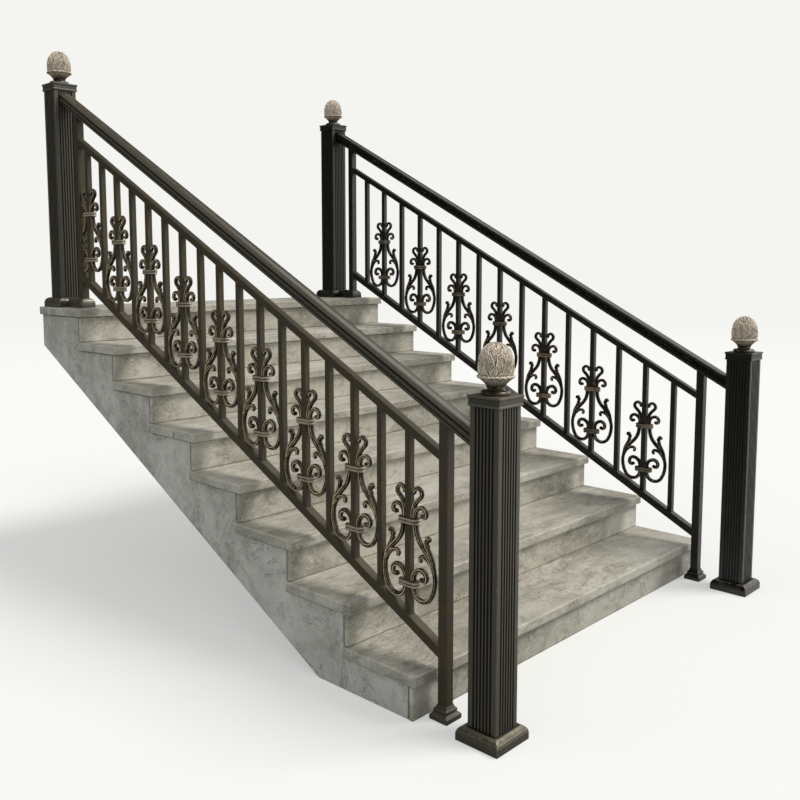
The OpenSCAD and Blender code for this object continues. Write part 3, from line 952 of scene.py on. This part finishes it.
def turned(name, radius, height, centre, values):
    """Turned solid from a grid of radii; the first and last rows close on the axis"""
    rows, columns = radius.shape
    angle = np.arange(columns) * 2 * math.pi / columns
    points = [(centre[0], centre[1], centre[2] + height[0])]
    kept = {key: [grid[0, 0]] for key, grid in values.items()}
    for row in range(1, rows - 1):
        x = centre[0] + radius[row] * np.cos(angle)
        y = centre[1] + radius[row] * np.sin(angle)
        points += list(zip(x, y, np.full(columns, centre[2] + height[row])))
        for key, grid in values.items():
            kept[key] += list(grid[row])
    points.append((centre[0], centre[1], centre[2] + height[-1]))
    for key, grid in values.items():
        kept[key].append(grid[-1, 0])
    faces = []
    last = len(points) - 1
    for i in range(columns):
        j = (i + 1) % columns
        faces.append((0, 1 + i, 1 + j))
        faces.append((last, last - columns + j, last - columns + i))
        for row in range(rows - 3):
            a, b = 1 + row * columns, 1 + (row + 1) * columns
            faces.append((a + i, a + j, b + j, b + i))
    mesh = mesh_of(name, points, faces)
    for key, numbers in kept.items():
        store(mesh, key, numbers)
    return mesh


def egg_radius(t, widest):
    """Radius of the egg at a share t of its height"""
    belly = 0.224
    low = widest * (1 - 0.06 * (1 - np.minimum(t / belly, 1)) ** 2)
    up = np.clip((t - belly) / (1 - belly), 0, 1)
    return np.where(t < belly, low, widest * (1 - up**2.4) ** 0.5)


def swell(distance, middle, reach):
    """Soft ridge that is 1 at its middle"""
    return np.exp(-(((distance - middle) / reach) ** 2))


# Rings of leaves from the top down: where their leaves start and end, in shares of the egg's height,
# and how far the ring is turned, in leaves
LEAF_RINGS = [(0.52, 1.03, 0.0), (0.24, 0.90, 0.5), (-0.06, 0.67, 0.0), (-0.22, 0.33, 0.5)]


def leaf_relief(angle, t, leaves, widest):
    """Height of the carved leaves over the egg, 0 in the cuts and 1 on the raised outlines"""
    height = np.full(t.shape, 0.30)
    groove = 2 * MM
    pitch = 2 * math.pi / leaves
    angle = angle + pitch * (0.10 * np.sin(11 * t + 2 * angle) + 0.05 * np.sin(23 * t + 5 * angle))
    t = t + 0.02 * np.sin(3 * angle + 9 * t) + 0.012 * np.sin(8 * angle)
    girth = np.maximum(egg_radius(t, widest), 0.25 * widest)
    for ring, (low, high, shift) in enumerate(LEAF_RINGS):
        for leaf in range(leaves):
            stray = math.sin(7.3 * leaf + 4.1 * ring)
            lean = 0.10 * math.sin(3.7 * leaf + 2.9 * ring) * pitch
            tip = high + 0.035 * stray
            v = (t - low) / (tip - low)
            middle = (leaf + shift) * pitch + 0.07 * pitch * stray + lean * (v - 0.5)
            away = (angle - middle + math.pi) % (2 * math.pi) - math.pi
            taper = np.clip(1 - v, 0, 1)
            half = 0.56 * pitch * np.minimum(1.0, (taper / 0.62) ** 0.72) * girth
            across = np.abs(away) * girth
            inside = half - across
            reach = (v > 0) & (v < 1.0)
            rim = swell(inside, 2.2 * MM, 1.8 * MM)
            inner = swell(inside, 8.6 * MM, 1.5 * MM) * (v < 0.86)
            rib = swell(across, 0.0, 1.0 * MM) * (v < 0.52)
            leaf_height = np.maximum(0.34 + 0.66 * rim, np.maximum(0.30 + 0.50 * inner, 0.28 + 0.40 * rib))
            height = np.where(reach & (inside > 0), leaf_height, height)
            cut = reach & (inside <= 0) & (inside > -groove)
            sunk = height * (0.05 + 0.45 * np.clip(-inside / groove, 0, 1))
            height = np.where(cut, sunk, height)
    return np.clip(height, 0, 1)


# Cup from the foot up: each point is (radius, height), in millimetres
CUP = [
    (0.0, 0.0), (24.0, 0.0), (26.5, 0.8), (28.6, 4.0),
    (33.0, 9.5), (39.0, 15.0), (45.2, 20.0), (49.5, 23.8),
]
# Neck from the foot up: each point is (radius, height, rub), in millimetres
NECK = [
    (0.0, 0.0, 0.0), (37.5, 0.0, 0.1), (41.5, 1.4, 0.5), (43.5, 5.2, 0.9),
    (43.2, 8.2, 0.9), (41.0, 11.4, 0.5), (37.0, 13.0, 0.1), (31.5, 13.4, 0.0),
    (27.0, 15.2, 0.0), (25.2, 17.6, 0.0), (25.4, 19.6, 0.1), (27.2, 20.8, 0.6),
    (28.0, 22.2, 1.0), (27.4, 23.6, 0.5), (25.5, 24.0, 0.0), (0.0, 24.0, 0.0),
]


def finial(centre):
    """Carved egg in its cup, with a scalloped rim"""
    s = look("finial")
    columns, rows = 240, 104
    widest, low, top = 53 * MM, 33.5 * MM, 128 * MM
    rim_radius, rim_height = 50.2 * MM, 28.5 * MM
    angle = np.arange(columns) * 2 * math.pi / columns
    radii, heights, relief = [], [], []
    for r, z in CUP:
        # Painted shade and highlight: the cup darkens towards its foot and lightens on its ribs
        streak_light_and_shade = 0.13 + 0.05 * np.sin(23 * angle + 0.1 * r) + 0.016 * (z - 4)
        radii.append(np.full(columns, r * MM) + 0.25 * MM * np.sin(23 * angle) * (z > 3))
        heights.append(z * MM)
        relief.append(np.clip(streak_light_and_shade, 0.05, 0.6))
    sway = 0.6 * np.sin(5 * angle + 1.0)
    for step in range(9):
        a = -math.pi / 2 + math.pi * step / 8
        lobe = np.abs(np.cos(s.beads * angle / 2 + sway + 1.1 * math.sin(a)))
        radii.append(rim_radius + 4.8 * MM * math.cos(a) * (0.72 + 0.28 * lobe))
        heights.append(rim_height + 4.6 * MM * math.sin(a))
        # Painted highlight on the upper outer side of each bead, painted shade between them
        relief.append(np.clip(0.10 + 0.85 * lobe * (0.2 + 0.8 * math.cos(a - 0.6)), 0, 1))
    share_up = 1 - (1 - np.linspace(0, 1, rows)) ** 1.3
    grid_angle, grid_t = np.meshgrid(angle, share_up)
    carved = leaf_relief(grid_angle, grid_t, s.leaves, widest)
    for row, t in enumerate(share_up):
        fade = min(1.0, (1 - t) / 0.06)
        r = egg_radius(np.full(columns, 0.03 + 0.97 * t), widest)
        radii.append(np.maximum(r - s.relief * (1 - carved[row]) * fade, 0.4 * MM))
        heights.append(low + (top - low) * t - 1.5 * MM * (1 - fade))
        # The egg's foot is darker where it sinks into the cup: painted shade
        relief.append(carved[row] * min(1.0, 0.35 + t / 0.06))
    return turned("finial", np.array(radii), np.array(heights), centre, {"relief": np.array(relief)})


def neck(centre):
    """Turned neck under a finial"""
    radius, height, rub = np.array(NECK).T
    around = np.ones(72)
    values = {"rub": np.outer(rub, around)}
    return turned("neck", np.outer(radius * MM, around), height * MM, centre, values)


def carved_stone():
    """Carved stone of the finials, with painted shade in its recesses and painted highlight on the raised
    carving
    """
    s = look("finial")
    material, n, shader, where = new_material("carved_stone")
    relief = n.plus(n.attribute("relief"), n.times(n.noise(where, 120.0, 4.0, 0.65), 0.30))
    blotch = n.noise(where, 34.0, 4.0, 0.6)
    cut = n.ramp(n.ridge(n.noise(where, 74.0, 3.0, 0.55, 0.8)), 0.050, 0.010)
    # Painted light: dark in the cuts, pale on the raised outlines, from the relief
    tint = n.mix(n.ramp(relief, 0.20, 0.62), s.dark, s.mid)
    tint = n.mix(n.ramp(relief, 0.70, 1.12), tint, s.pale)
    tint = n.cover(tint, cut, 0.45, s.dark)
    tint = n.cover(tint, n.ramp(blotch, 0.46, 0.68), 0.30, s.dark)
    height = n.minus(n.noise(where, 210.0, 4.0, 0.65), cut)
    inputs = {"Base Color": tint, "Roughness": 0.7}
    finish_surface(n, shader, inputs, 0.3, height, 0.35, 1.5 * MM)
    return material


class BALUSTRADE_OT_finials(bpy.types.Operator):
    """Builds the carved finials and their turned necks"""

    bl_idname = "balustrade.finials"
    bl_label = "Finials"

    def execute(self, context):
        stone = carved_stone()
        neck_height = NECK[-1][1] * MM
        for side in SIDES:
            eggs, necks = [], []
            for end in ("bottom", "top"):
                low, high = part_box(end + "_newel_cap_" + side)
                x, y = (low.x + high.x) / 2, (low.y + high.y) / 2
                necks.append(neck((x, y, high.z)))
                eggs.append(finial((x, y, high.z + neck_height)))
            node = "finials_" + side
            place_piece(node + "_carved", joined("eggs", eggs), stone, [node], 60)
            dark_piece("necks_" + side, necks, "neck", side, ["finial_necks_" + side], 40)
        return {"FINISHED"}


# ---------------------------------------------------------------- posts and rails


# Side of the handrail from the top down: each point is (inset, height, rub, recess), in millimetres;
# the brow's heights are counted down from the ends of the crown
# Their recess values lay painted shade in the handrail's grooves
BROW = [
    (0.4, 2.4, 0.5, 0.0), (2.2, 3.6, 0.0, 0.6), (5.4, 4.6, 0.0, 1.0),
    (5.6, 9.0, 0.0, 1.0), (2.0, 10.2, 0.5, 0.0), (0.8, 12.0, 0.9, 0.0),
]
CHEEK = [
    (0.2, 20.8, 0.2, 0.0), (1.0, 19.8, 0.3, 0.2), (4.2, 19.0, 0.0, 1.0), (4.2, 16.0, 0.0, 1.0),
    (1.2, 15.0, 0.6, 0.0), (0.9, 13.8, 0.8, 0.0), (1.4, 12.5, 0.6, 0.0), (5.0, 11.6, 0.0, 1.0),
    (9.0, 10.0, 0.0, 0.6), (10.0, 7.0, 0.2, 0.1), (10.0, 1.2, 0.6, 0.0), (11.0, 0.0, 0.6, 0.0),
]


def handrail_outline(width, depth):
    """Moulded section of the handrail, square to its slope; points hold across, up, rub and recess"""
    half = width / 2
    sag = 12.5 * MM
    radius = (half**2 + sag**2) / (2 * sag)
    reach = math.asin(half / radius)
    crown = []
    for step in range(13):
        a = -reach + 2 * reach * step / 12
        up = depth - radius + radius * math.cos(a)
        crown.append((radius * math.sin(a), up, 0.35 * abs(a / reach) ** 3, 0.0))
    right = [(half - inset * MM, depth - sag - drop * MM, rub, deep) for inset, drop, rub, deep in BROW]
    right += [(half - inset * MM, height * MM, rub, deep) for inset, height, rub, deep in CHEEK]
    left = [(-x, z, rub, deep) for x, z, rub, deep in reversed(right)]
    return crown + right + left


def bar_outline(width, depth, round_edge):
    """Square section with rounded edges; points hold across, up, rub and recess"""
    half = width / 2
    border = 2.5 * MM
    quarter = math.pi / 2
    bends = [(-quarter * step / 3, 0.0, 1.0) for step in range(4)]
    bends = [(0.0, border, 0.0), *bends, (-quarter, -border, 0.0)]
    outline = []
    for x, z, turn in ((half, depth, 1), (half, 0, 0), (-half, 0, -1), (-half, depth, -2)):
        cx = x - math.copysign(round_edge, x)
        cz = z - round_edge if z > depth / 2 else z + round_edge
        for bend, back, rub in bends:
            a = turn * quarter + bend
            across = cx + round_edge * math.cos(a) + back * math.cos(a + quarter)
            up = cz + round_edge * math.sin(a) + back * math.sin(a + quarter)
            outline.append((across, up, rub, 0.0))
    return outline


def sloped_bar(node, outline_of):
    """Bar that fills the box of a sloping CAD bar between its two upright ends"""
    low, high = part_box(node)
    run = high.y - low.y
    depth = (high.z - low.z - SLOPE * run) * math.cos(PITCH)
    mid = (low.x + high.x) / 2
    outline = outline_of(high.x - low.x, depth)
    rings = []
    for y in (low.y, high.y):
        base = low.z + SLOPE * (y - low.y)
        rings.append([(mid + x, y, base + up / math.cos(PITCH)) for x, up, _, _ in outline])
    return drawn_out(node + "_bar", rings, outline)


class BALUSTRADE_OT_rails(bpy.types.Operator):
    """Builds the handrails, the upper rails and the bottom rails"""

    bl_idname = "balustrade.rails"
    bl_label = "Rails"

    def execute(self, context):
        m = look("metal")

        def plain(width, depth):
            return bar_outline(width, depth, m.edge_round)

        rails = (
            ("handrail", "handrail", handrail_outline),
            ("upper_rail", "rail", plain),
            ("bottom_rail", "rail", plain),
        )
        for side in SIDES:
            for kind, finish, outline_of in rails:
                node = kind + "_" + side
                dark_piece(node + "_bar", [sloped_bar(node, outline_of)], finish, side, [node])
        return {"FINISHED"}


class BALUSTRADE_OT_end_posts(bpy.types.Operator):
    """Builds the end posts and the feet of the bottom ones"""

    bl_idname = "balustrade.end_posts"
    bl_label = "End Posts"

    def execute(self, context):
        ease, border = look("metal").edge_round, 3 * MM
        for side in SIDES:
            nodes = ["bottom_post_" + side, "top_post_" + side]
            posts = [eased_copy(node, ease, border) for node in nodes]
            dark_piece("end_posts_" + side, posts, "rail", side, nodes)
            node = "bottom_post_foot_" + side
            dark_piece("post_foot_" + side, [moulded(*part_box(node), POST_FOOT)], "newel", side, [node])
        return {"FINISHED"}


# ---------------------------------------------------------------- balusters


def baluster_count(side):
    """Balusters on one side"""
    s = look("ornament")
    return s.left_balusters if side == "left" else s.right_balusters


def baluster_step(side):
    """Distance between balusters along Y"""
    low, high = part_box("balusters_" + side)
    return (high.y - low.y - (high.x - low.x)) / (baluster_count(side) - 1)


def first_baluster(side):
    """The lowest baluster, with sloping ends"""
    low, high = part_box("balusters_" + side)
    width = high.x - low.x
    mid = ((low.x + high.x) / 2, low.y + width / 2)
    outline = bar_outline(width, width, look("metal").edge_round)
    top = high.z - SLOPE * (high.y - low.y)
    rings = []
    for base in (low.z, top):
        ring = []
        for x, up, _, _ in outline:
            y = mid[1] + up - width / 2
            ring.append((mid[0] + x, y, base + SLOPE * (y - low.y)))
        rings.append(ring)
    return drawn_out("baluster_" + side, rings, outline)


class BALUSTRADE_OT_balusters(bpy.types.Operator):
    """Repeats the square balusters up each side"""

    bl_idname = "balustrade.balusters"
    bl_label = "Balusters"

    def execute(self, context):
        for side in SIDES:
            metal = coat("rail", side)
            step = baluster_step(side)
            offset = (0.0, step, SLOPE * step)
            row = {"Count": baluster_count(side), "Step": offset, "Material": metal}
            made = grown(first_baluster(side), repeat_tree(), row)
            node = "balusters_" + side
            place_piece(node + "_row", made, metal, [node])
        return {"FINISHED"}


# ---------------------------------------------------------------- scroll ornaments


def walked(start, heading, moves, turn_step=11.0):
    """Points along a bar's path; a move is (radius, turn in degrees) or (length, 0), in millimetres"""
    points = [tuple(start)]
    x, z = start
    a = heading
    for size, turn in moves:
        if turn == 0:
            x += size * math.cos(math.radians(a))
            z += size * math.sin(math.radians(a))
            points.append((x, z))
            continue
        sign = 1 if turn > 0 else -1
        cx = x - sign * size * math.sin(math.radians(a))
        cz = z + sign * size * math.cos(math.radians(a))
        pieces = max(2, math.ceil(abs(turn) / turn_step))
        for i in range(1, pieces + 1):
            b = math.radians(a + turn * i / pieces)
            points.append((cx + sign * size * math.sin(b), cz - sign * size * math.cos(b)))
        x, z = points[-1]
        a += turn
    return points


BALUSTER_HALF = 11.0
HEART = [(38, 90), (42, 58), (112, 32), (74, 50), (40, 40), (9, 140)]


def ornament_bars():
    """Paths of one half of an ornament, from the baluster's axis outward, with the size of each bar"""
    s = look("ornament")
    heavy, thin, bulb = s.bar_width / MM, s.thin_width / MM, s.eye / MM
    beside = BALUSTER_HALF + heavy / 2
    thin_beside = BALUSTER_HALF + thin / 2
    collar_height = COLLAR_HEIGHT / MM
    top, foot = collar_height / 2, -collar_height / 2
    lower_top = foot - s.collar_drop / MM + collar_height
    lower_foot = lower_top - collar_height
    bars = []

    def bar(start, heading, moves, width, ends=(1.0, 1.0), eye=0.0, lobes=0, buried=4.0):
        back = math.radians(heading)
        path = walked(start, heading, moves, 6.0 if lobes else 11.0)
        if buried:
            path.insert(0, (start[0] - buried * math.cos(back), start[1] - buried * math.sin(back)))
        bars.append({"path": path, "width": width, "ends": ends, "eye": eye, "lobes": lobes})

    bar((thin_beside, top), 90, [(10, 0), (70, -55), (16, 235)], thin + 2.0, (1.1, 0.95), eye=6.4)
    curl = [(8, 0), (28, -90), (18, -90), (10, -120)]
    bar((thin_beside + thin, top), 90, curl, thin + 2.0, eye=bulb)
    bar((beside, lower_foot), -90, HEART, heavy, (1.05, 0.85), eye=5.4)
    widest = walked((beside, lower_foot), -90, HEART[:3])[-1]
    shoulder = walked((beside, lower_foot), -90, HEART[:3] + [(74, 20)])[-1]
    arm = [(90, 35), (36, 0), (90, -45)]
    end = walked(shoulder, 100, arm)[-1]
    bar(shoulder, 100, arm + [(foot - end[1] + 4, 0)], heavy, (1.05, 1.05), buried=0)
    leaf = [(130, 26), (24, 0), (50, -28), (8, -130)]
    start = (widest[0] - 3, widest[1] + 17)
    bar(start, 92, leaf, thin + 1.5, (0.7, 1.15), eye=6.0, lobes=9, buried=0)
    curl = [(6, 0), (34, -90), (21, -90), (12, -130)]
    bar((beside, lower_top), 90, curl, heavy, (1.08, 1.0), eye=bulb + 0.6)
    return bars


def ornament_lines(bars, centre):
    """Base mesh of lines that the bar tree follows, both halves"""
    points, edges, sizes = [], [], []
    full = look("ornament").bar_width / MM
    for flip in (1, -1):
        for bar in bars:
            path = bar["path"]
            first = len(points)
            count = len(path)
            run = np.cumsum([0.0] + [math.dist(path[i], path[i + 1]) for i in range(count - 1)])
            for i, (r, z) in enumerate(path):
                t = run[i] / run[-1]
                width = bar["width"] * (bar["ends"][0] + (bar["ends"][1] - bar["ends"][0]) * t)
                if bar["lobes"]:
                    width *= 0.82 + 0.42 * abs(math.sin(bar["lobes"] * math.pi * t))
                points.append((centre[0], centre[1] + flip * r * MM, centre[2] + z * MM))
                sizes.append(width / full)
            edges += [(first + i, first + i + 1) for i in range(count - 1)]
    mesh = bpy.data.meshes.new("ornament_lines")
    mesh.from_pydata(points, edges, [])
    store(mesh, "bar_size", sizes)
    return mesh


# Face of a scroll bar: each point is (across, outward, rub), in shares of its width and thickness
# The rubbed rims are wear and painted highlight
BAR_FACE = [
    (-0.50, 0.10, 0.0), (-0.46, 0.27, 0.0), (-0.38, 0.40, 0.3), (-0.26, 0.49, 1.0),
    (-0.14, 0.48, 0.7), (-0.04, 0.38, 0.0), (0.04, 0.36, 0.0), (0.18, 0.42, 0.45),
    (0.30, 0.43, 0.6), (0.40, 0.36, 0.1), (0.46, 0.26, 0.0), (0.50, 0.10, 0.0),
]


def bar_section():
    """Section of a scroll bar: two rubbed rims, worn and with painted highlight, with a groove between,
    alike on both faces
    """
    s = look("ornament")
    w, d = s.bar_width * s.fullness, s.depth * s.fullness
    outline = BAR_FACE + [(-u, -x, rub) for u, x, rub in BAR_FACE]
    count = len(outline)
    mesh = bpy.data.meshes.new("bar_section")
    spots = [(x * d, u * w, 0.0) for u, x, _ in outline]
    mesh.from_pydata(spots, [(i, (i + 1) % count) for i in range(count)], [])
    store(mesh, "rub", [rub for _, _, rub in outline])
    section = bpy.data.objects.new("bar_section", mesh)
    bpy.context.scene.collection.objects.link(section)
    return section


def round_ends(bars, centre):
    """Bulbs at the ends of the scroll bars"""
    bm = bmesh.new()
    rub = bm.verts.layers.float.new("rub")
    depth = look("ornament").depth
    turn = Matrix.Rotation(math.pi / 2, 4, "Y")
    for flip in (1, -1):
        for bar in bars:
            if not bar["eye"]:
                continue
            r, z = bar["path"][-1]
            place = Matrix.Translation((centre[0], centre[1] + flip * r * MM, centre[2] + z * MM))
            size = bar["eye"] * MM
            across = min(depth * 0.62, size * 1.25)
            place = place @ turn @ Matrix.Diagonal((size, size, across, 1.0))
            made = bmesh.ops.create_uvsphere(bm, u_segments=14, v_segments=9, radius=1.0, matrix=place)
            for vert in made["verts"]:
                vert[rub] = max(0.0, 1.1 * abs(vert.co.x - centre[0]) / across - 0.7)
    return settled("round_ends", bm)


def ornament_count(side):
    """Ornaments on one side: every other baluster, with the end ones on the left"""
    return (baluster_count(side) + (1 if side == "left" else 0)) // 2


def ornament_step(side):
    """Offset from one ornament to the next"""
    step = 2 * baluster_step(side)
    return (0.0, step, SLOPE * step)


def first_ornament(side):
    """Middle of the upper collar of the lowest ornament"""
    low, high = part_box("collars_" + side)
    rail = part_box("balusters_" + side)
    step = baluster_step(side)
    y = rail[0].y + (rail[1].x - rail[0].x) / 2 + (0 if side == "left" else step)
    return ((low.x + high.x) / 2, y, low.z + COLLAR_HEIGHT / 2 + look("ornament").collar_drop)


def row_of(mesh, side, material):
    """Repeats the mesh of one ornament up its side"""
    row = {"Count": ornament_count(side), "Step": ornament_step(side), "Material": material}
    return grown(mesh, repeat_tree(), row)


def trimmed(mesh, y):
    """Cuts off what a mesh has behind an upright plane and closes the cuts"""
    bm = opened(mesh)
    whole = bm.verts[:] + bm.edges[:] + bm.faces[:]
    bmesh.ops.bisect_plane(bm, geom=whole, plane_co=(0, y, 0), plane_no=(0, 1, 0), clear_outer=True)
    rim = [e for e in bm.edges if e.is_boundary]
    if rim:
        bmesh.ops.holes_fill(bm, edges=rim, sides=0)
    return written(bm, mesh)


class BALUSTRADE_OT_scrolls(bpy.types.Operator):
    """Builds one scroll ornament and repeats it up each side"""

    bl_idname = "balustrade.scrolls"
    bl_label = "Scroll Ornaments"

    def execute(self, context):
        s = look("ornament")
        section = bar_section()
        bars = ornament_bars()
        into_post = 4 * MM
        # Right side: painted shade on the scrolls and a shorter reach of their rub, which is wear and
        # painted highlight
        looks = {"left": (s.scroll_wear_and_sheen, 1.0), "right": (s.right_scroll_wear_and_sheen, s.right_painted_shade)}
        for side, (wear, shade) in looks.items():
            tones = (shaded(s.dark, shade), shaded(s.warm, shade), s.rubbed)
            bronze = metal_material("scroll_bronze_" + side, tones, wear, 0.25, 0.5, 0.08)
            centre = first_ornament(side)
            values = {"Section": section, "Facing": (1.0, 0.0, 0.0), "Material": bronze}
            strips = grown(ornament_lines(bars, centre), bar_tree(), values)
            made = row_of(joined("ornament", [strips, round_ends(bars, centre)]), side, bronze)
            made = outward(trimmed(made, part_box("top_post_" + side)[0].y + into_post))
            place_piece("scroll_row_" + side, made, bronze, ["scrolls_" + side], 50)
        bpy.data.objects.remove(section)
        return {"FINISHED"}


# ---------------------------------------------------------------- collars


# Lower half of a collar's side from its middle: each point is (share of the height, offset in
# millimetres, rub); the upper half mirrors it
COLLAR_SIDE = [
    (0.03, -1.8, 0.3), (0.10, -0.6, 0.7), (0.24, 0.0, 1.0),
    (0.38, -0.4, 0.8), (0.47, -1.6, 0.2), (0.50, -3.2, 0.0),
]


def collar(centre, width, depth):
    """Band with a bead along each rim and round ends"""
    levels = [(-up, offset, rub) for up, offset, rub in reversed(COLLAR_SIDE)] + COLLAR_SIDE
    radius = depth / 2
    reach = width / 2 - radius
    rings, rubs = [], []
    for up, offset, rub in levels:
        r = radius + offset * MM
        z = centre[2] + up * COLLAR_HEIGHT
        ring = []
        for end in (1, -1):
            for step in range(13):
                a = -math.pi / 2 + math.pi * step / 12
                y = centre[1] + end * (reach + r * math.cos(a))
                ring.append((centre[0] + end * r * math.sin(a), y, z))
        rings.append(ring)
        rubs += [rub] * len(ring)
    # Points without rub get recess: painted shade along the rims of the band
    return loft("collar", rings, rubs, [0.0 if rub > 0.05 else 0.6 for rub in rubs])


class BALUSTRADE_OT_collars(bpy.types.Operator):
    """Repeats the collars that bind the ornaments to their balusters"""

    bl_idname = "balustrade.collars"
    bl_label = "Collars"

    def execute(self, context):
        s = look("ornament")
        tones = (s.collar_dark, s.collar_warm, s.collar_rubbed)
        for side, wear in zip(SIDES, (s.collar_wear, s.right_collar_wear)):
            node = "collars_" + side
            low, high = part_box(node)
            metal = metal_material("collar_bronze_" + side, tones, wear, 0.35, 0.5)
            x, y, z = first_ornament(side)
            size = 2 * (y - low.y), high.x - low.x
            pair = [collar((x, y, z - drop), *size) for drop in (0.0, s.collar_drop)]
            made = row_of(joined("collar_pair", pair), side, metal)
            place_piece(node + "_row", made, metal, [node], 40)
        return {"FINISHED"}


# ---------------------------------------------------------------- stage


def floor_material():
    """Pale floor that shows soft shadows but gives back a measured share of the light"""
    s = look("stage")
    material = bpy.data.materials.new("floor")
    n = emptied(material)
    where = n.add("ShaderNodeTexCoord").outputs["Object"]
    metres_off = n.vector("LENGTH", {0: where}).outputs["Value"]
    tint = n.mix(n.ramp(metres_off, 5.0, 22.0), s.near_floor, s.backdrop)
    glow = n.add("ShaderNodeEmission", {"Color": tint, "Strength": 1.0})
    lit = n.add("ShaderNodeBsdfDiffuse", {"Color": tint})
    shown = n.blend(n.ramp(metres_off, 8.0, 24.0, 0.60, 0.0), glow, lit)
    bounce = (s.floor_bounce * 0.96, s.floor_bounce, s.floor_bounce * 0.98, 1.0)
    unseen = n.add("ShaderNodeBsdfDiffuse", {"Color": bounce})
    mirrored = n.ramp(n.add("ShaderNodeSeparateXYZ", {0: where}).outputs["X"], -1.2, 1.2)
    path = n.add("ShaderNodeLightPath").outputs
    seen = n.math("MAXIMUM", path["Is Camera Ray"], n.times(path["Is Glossy Ray"], mirrored))
    n.add("ShaderNodeOutputMaterial", {"Surface": n.blend(seen, unseen, shown).outputs[0]})
    return material


def add_floor(scene):
    """Wide floor under the steps"""
    half, z = 60.0, CAD_LOW.z
    mesh = bpy.data.meshes.new("floor")
    corners = [(-half, -half, z), (half, -half, z), (half, half, z), (-half, half, z)]
    mesh.from_pydata(corners, [], [(0, 1, 2, 3)])
    mesh.materials.append(floor_material())
    floor = bpy.data.objects.new("floor", mesh)
    scene.collection.objects.link(floor)


def add_world(scene):
    """Pale backdrop for the camera, even light for the object and a room for its mirrored rays"""
    s = look("stage")
    world = bpy.data.worlds.new("backdrop")
    scene.world = world
    n = emptied(world)
    pale = n.add("ShaderNodeBackground", {"Color": s.backdrop, "Strength": 1.0})
    toward = n.add("ShaderNodeTexCoord").outputs["Generated"]
    dim, bright = 0.68 * s.ambient, 1.36 * s.ambient
    strength = n.ramp(n.dot(toward, s.open_side), -0.6, 0.8, dim, bright)
    even = n.add("ShaderNodeBackground", {"Color": SKY_TINT, "Strength": strength})
    front = n.ramp(n.dot(toward, s.front), 0.0, 0.8, 0.05, s.front_glow)
    panel = n.ramp(n.dot(toward, s.panel), 0.91, 0.985, 0.0, s.panel_glow)
    mirrored = n.add("ShaderNodeBackground", {"Color": s.backdrop, "Strength": n.plus(front, panel)})
    path = n.add("ShaderNodeLightPath").outputs
    met = n.blend(path["Is Glossy Ray"], even, mirrored)
    both = n.blend(path["Is Camera Ray"], met, pale)
    n.add("ShaderNodeOutputWorld", {"Surface": both.outputs[0]})


def add_key(scene):
    """Soft lamp that gives the shadows"""
    s = look("stage")
    lamp = bpy.data.lights.new("key", "SUN")
    lamp.energy = s.key
    lamp.angle = s.softness
    lamp.color = LAMP_TINT
    key = bpy.data.objects.new("key", lamp)
    key.rotation_mode = "QUATERNION"
    key.rotation_quaternion = Vector(s.key_from).to_track_quat("Z", "Y")
    scene.collection.objects.link(key)


def add_camera(scene):
    """Camera in front of the steps, to their left"""
    dip, heading = 0.101476, -0.81296
    camera = bpy.data.objects.new("camera", bpy.data.cameras.new("camera"))
    camera.location = (-2.8945, -1.9877, 1.4032)
    camera.rotation_euler = (math.radians(90) - dip, 0.0, heading)
    camera.data.sensor_width = 36.0
    camera.data.lens = 40.525
    camera.data.shift_y = -0.0558
    camera.data.clip_end = 200.0
    scene.collection.objects.link(camera)
    scene.camera = camera


class BALUSTRADE_OT_stage(bpy.types.Operator):
    """Sets the floor, the light and the camera"""

    bl_idname = "balustrade.stage"
    bl_label = "Stage"

    def execute(self, context):
        scene = context.scene
        scene.view_settings.view_transform = "Standard"
        add_floor(scene)
        add_world(scene)
        add_key(scene)
        add_camera(scene)
        return {"FINISHED"}


# ---------------------------------------------------------------- panel


OPERATORS = [
    BALUSTRADE_OT_stone_flight,
    BALUSTRADE_OT_newels,
    BALUSTRADE_OT_finials,
    BALUSTRADE_OT_end_posts,
    BALUSTRADE_OT_rails,
    BALUSTRADE_OT_balusters,
    BALUSTRADE_OT_scrolls,
    BALUSTRADE_OT_collars,
    BALUSTRADE_OT_stage,
]


class BALUSTRADE_PT_panel(bpy.types.Panel):
    """Settings and build steps of the balustrade"""

    bl_label = "Balustrade"
    bl_idname = "BALUSTRADE_PT_panel"
    bl_space_type = "VIEW_3D"
    bl_region_type = "UI"
    bl_category = "Balustrade"

    def draw(self, context):
        for key in LOOKS:
            box = self.layout.box()
            group = getattr(context.scene, key)
            for name in group.__annotations__:
                box.prop(group, name)
        for operator in OPERATORS:
            self.layout.operator(operator.bl_idname)


CLASSES = [*LOOKS.values(), *OPERATORS, BALUSTRADE_PT_panel]


def register():
    """Registers the settings, the build steps and the panel"""
    for cls in CLASSES:
        bpy.utils.register_class(cls)
    for key, group in LOOKS.items():
        setattr(bpy.types.Scene, key, PointerProperty(type=group))


def unregister():
    """Takes them out again"""
    for key in LOOKS:
        delattr(bpy.types.Scene, key)
    for cls in reversed(CLASSES):
        bpy.utils.unregister_class(cls)


def main():
    """Builds every piece in order"""
    register()
    for operator in OPERATORS:
        group, name = operator.bl_idname.split(".")
        getattr(getattr(bpy.ops, group), name)()


if __name__ == "__main__":
    main()
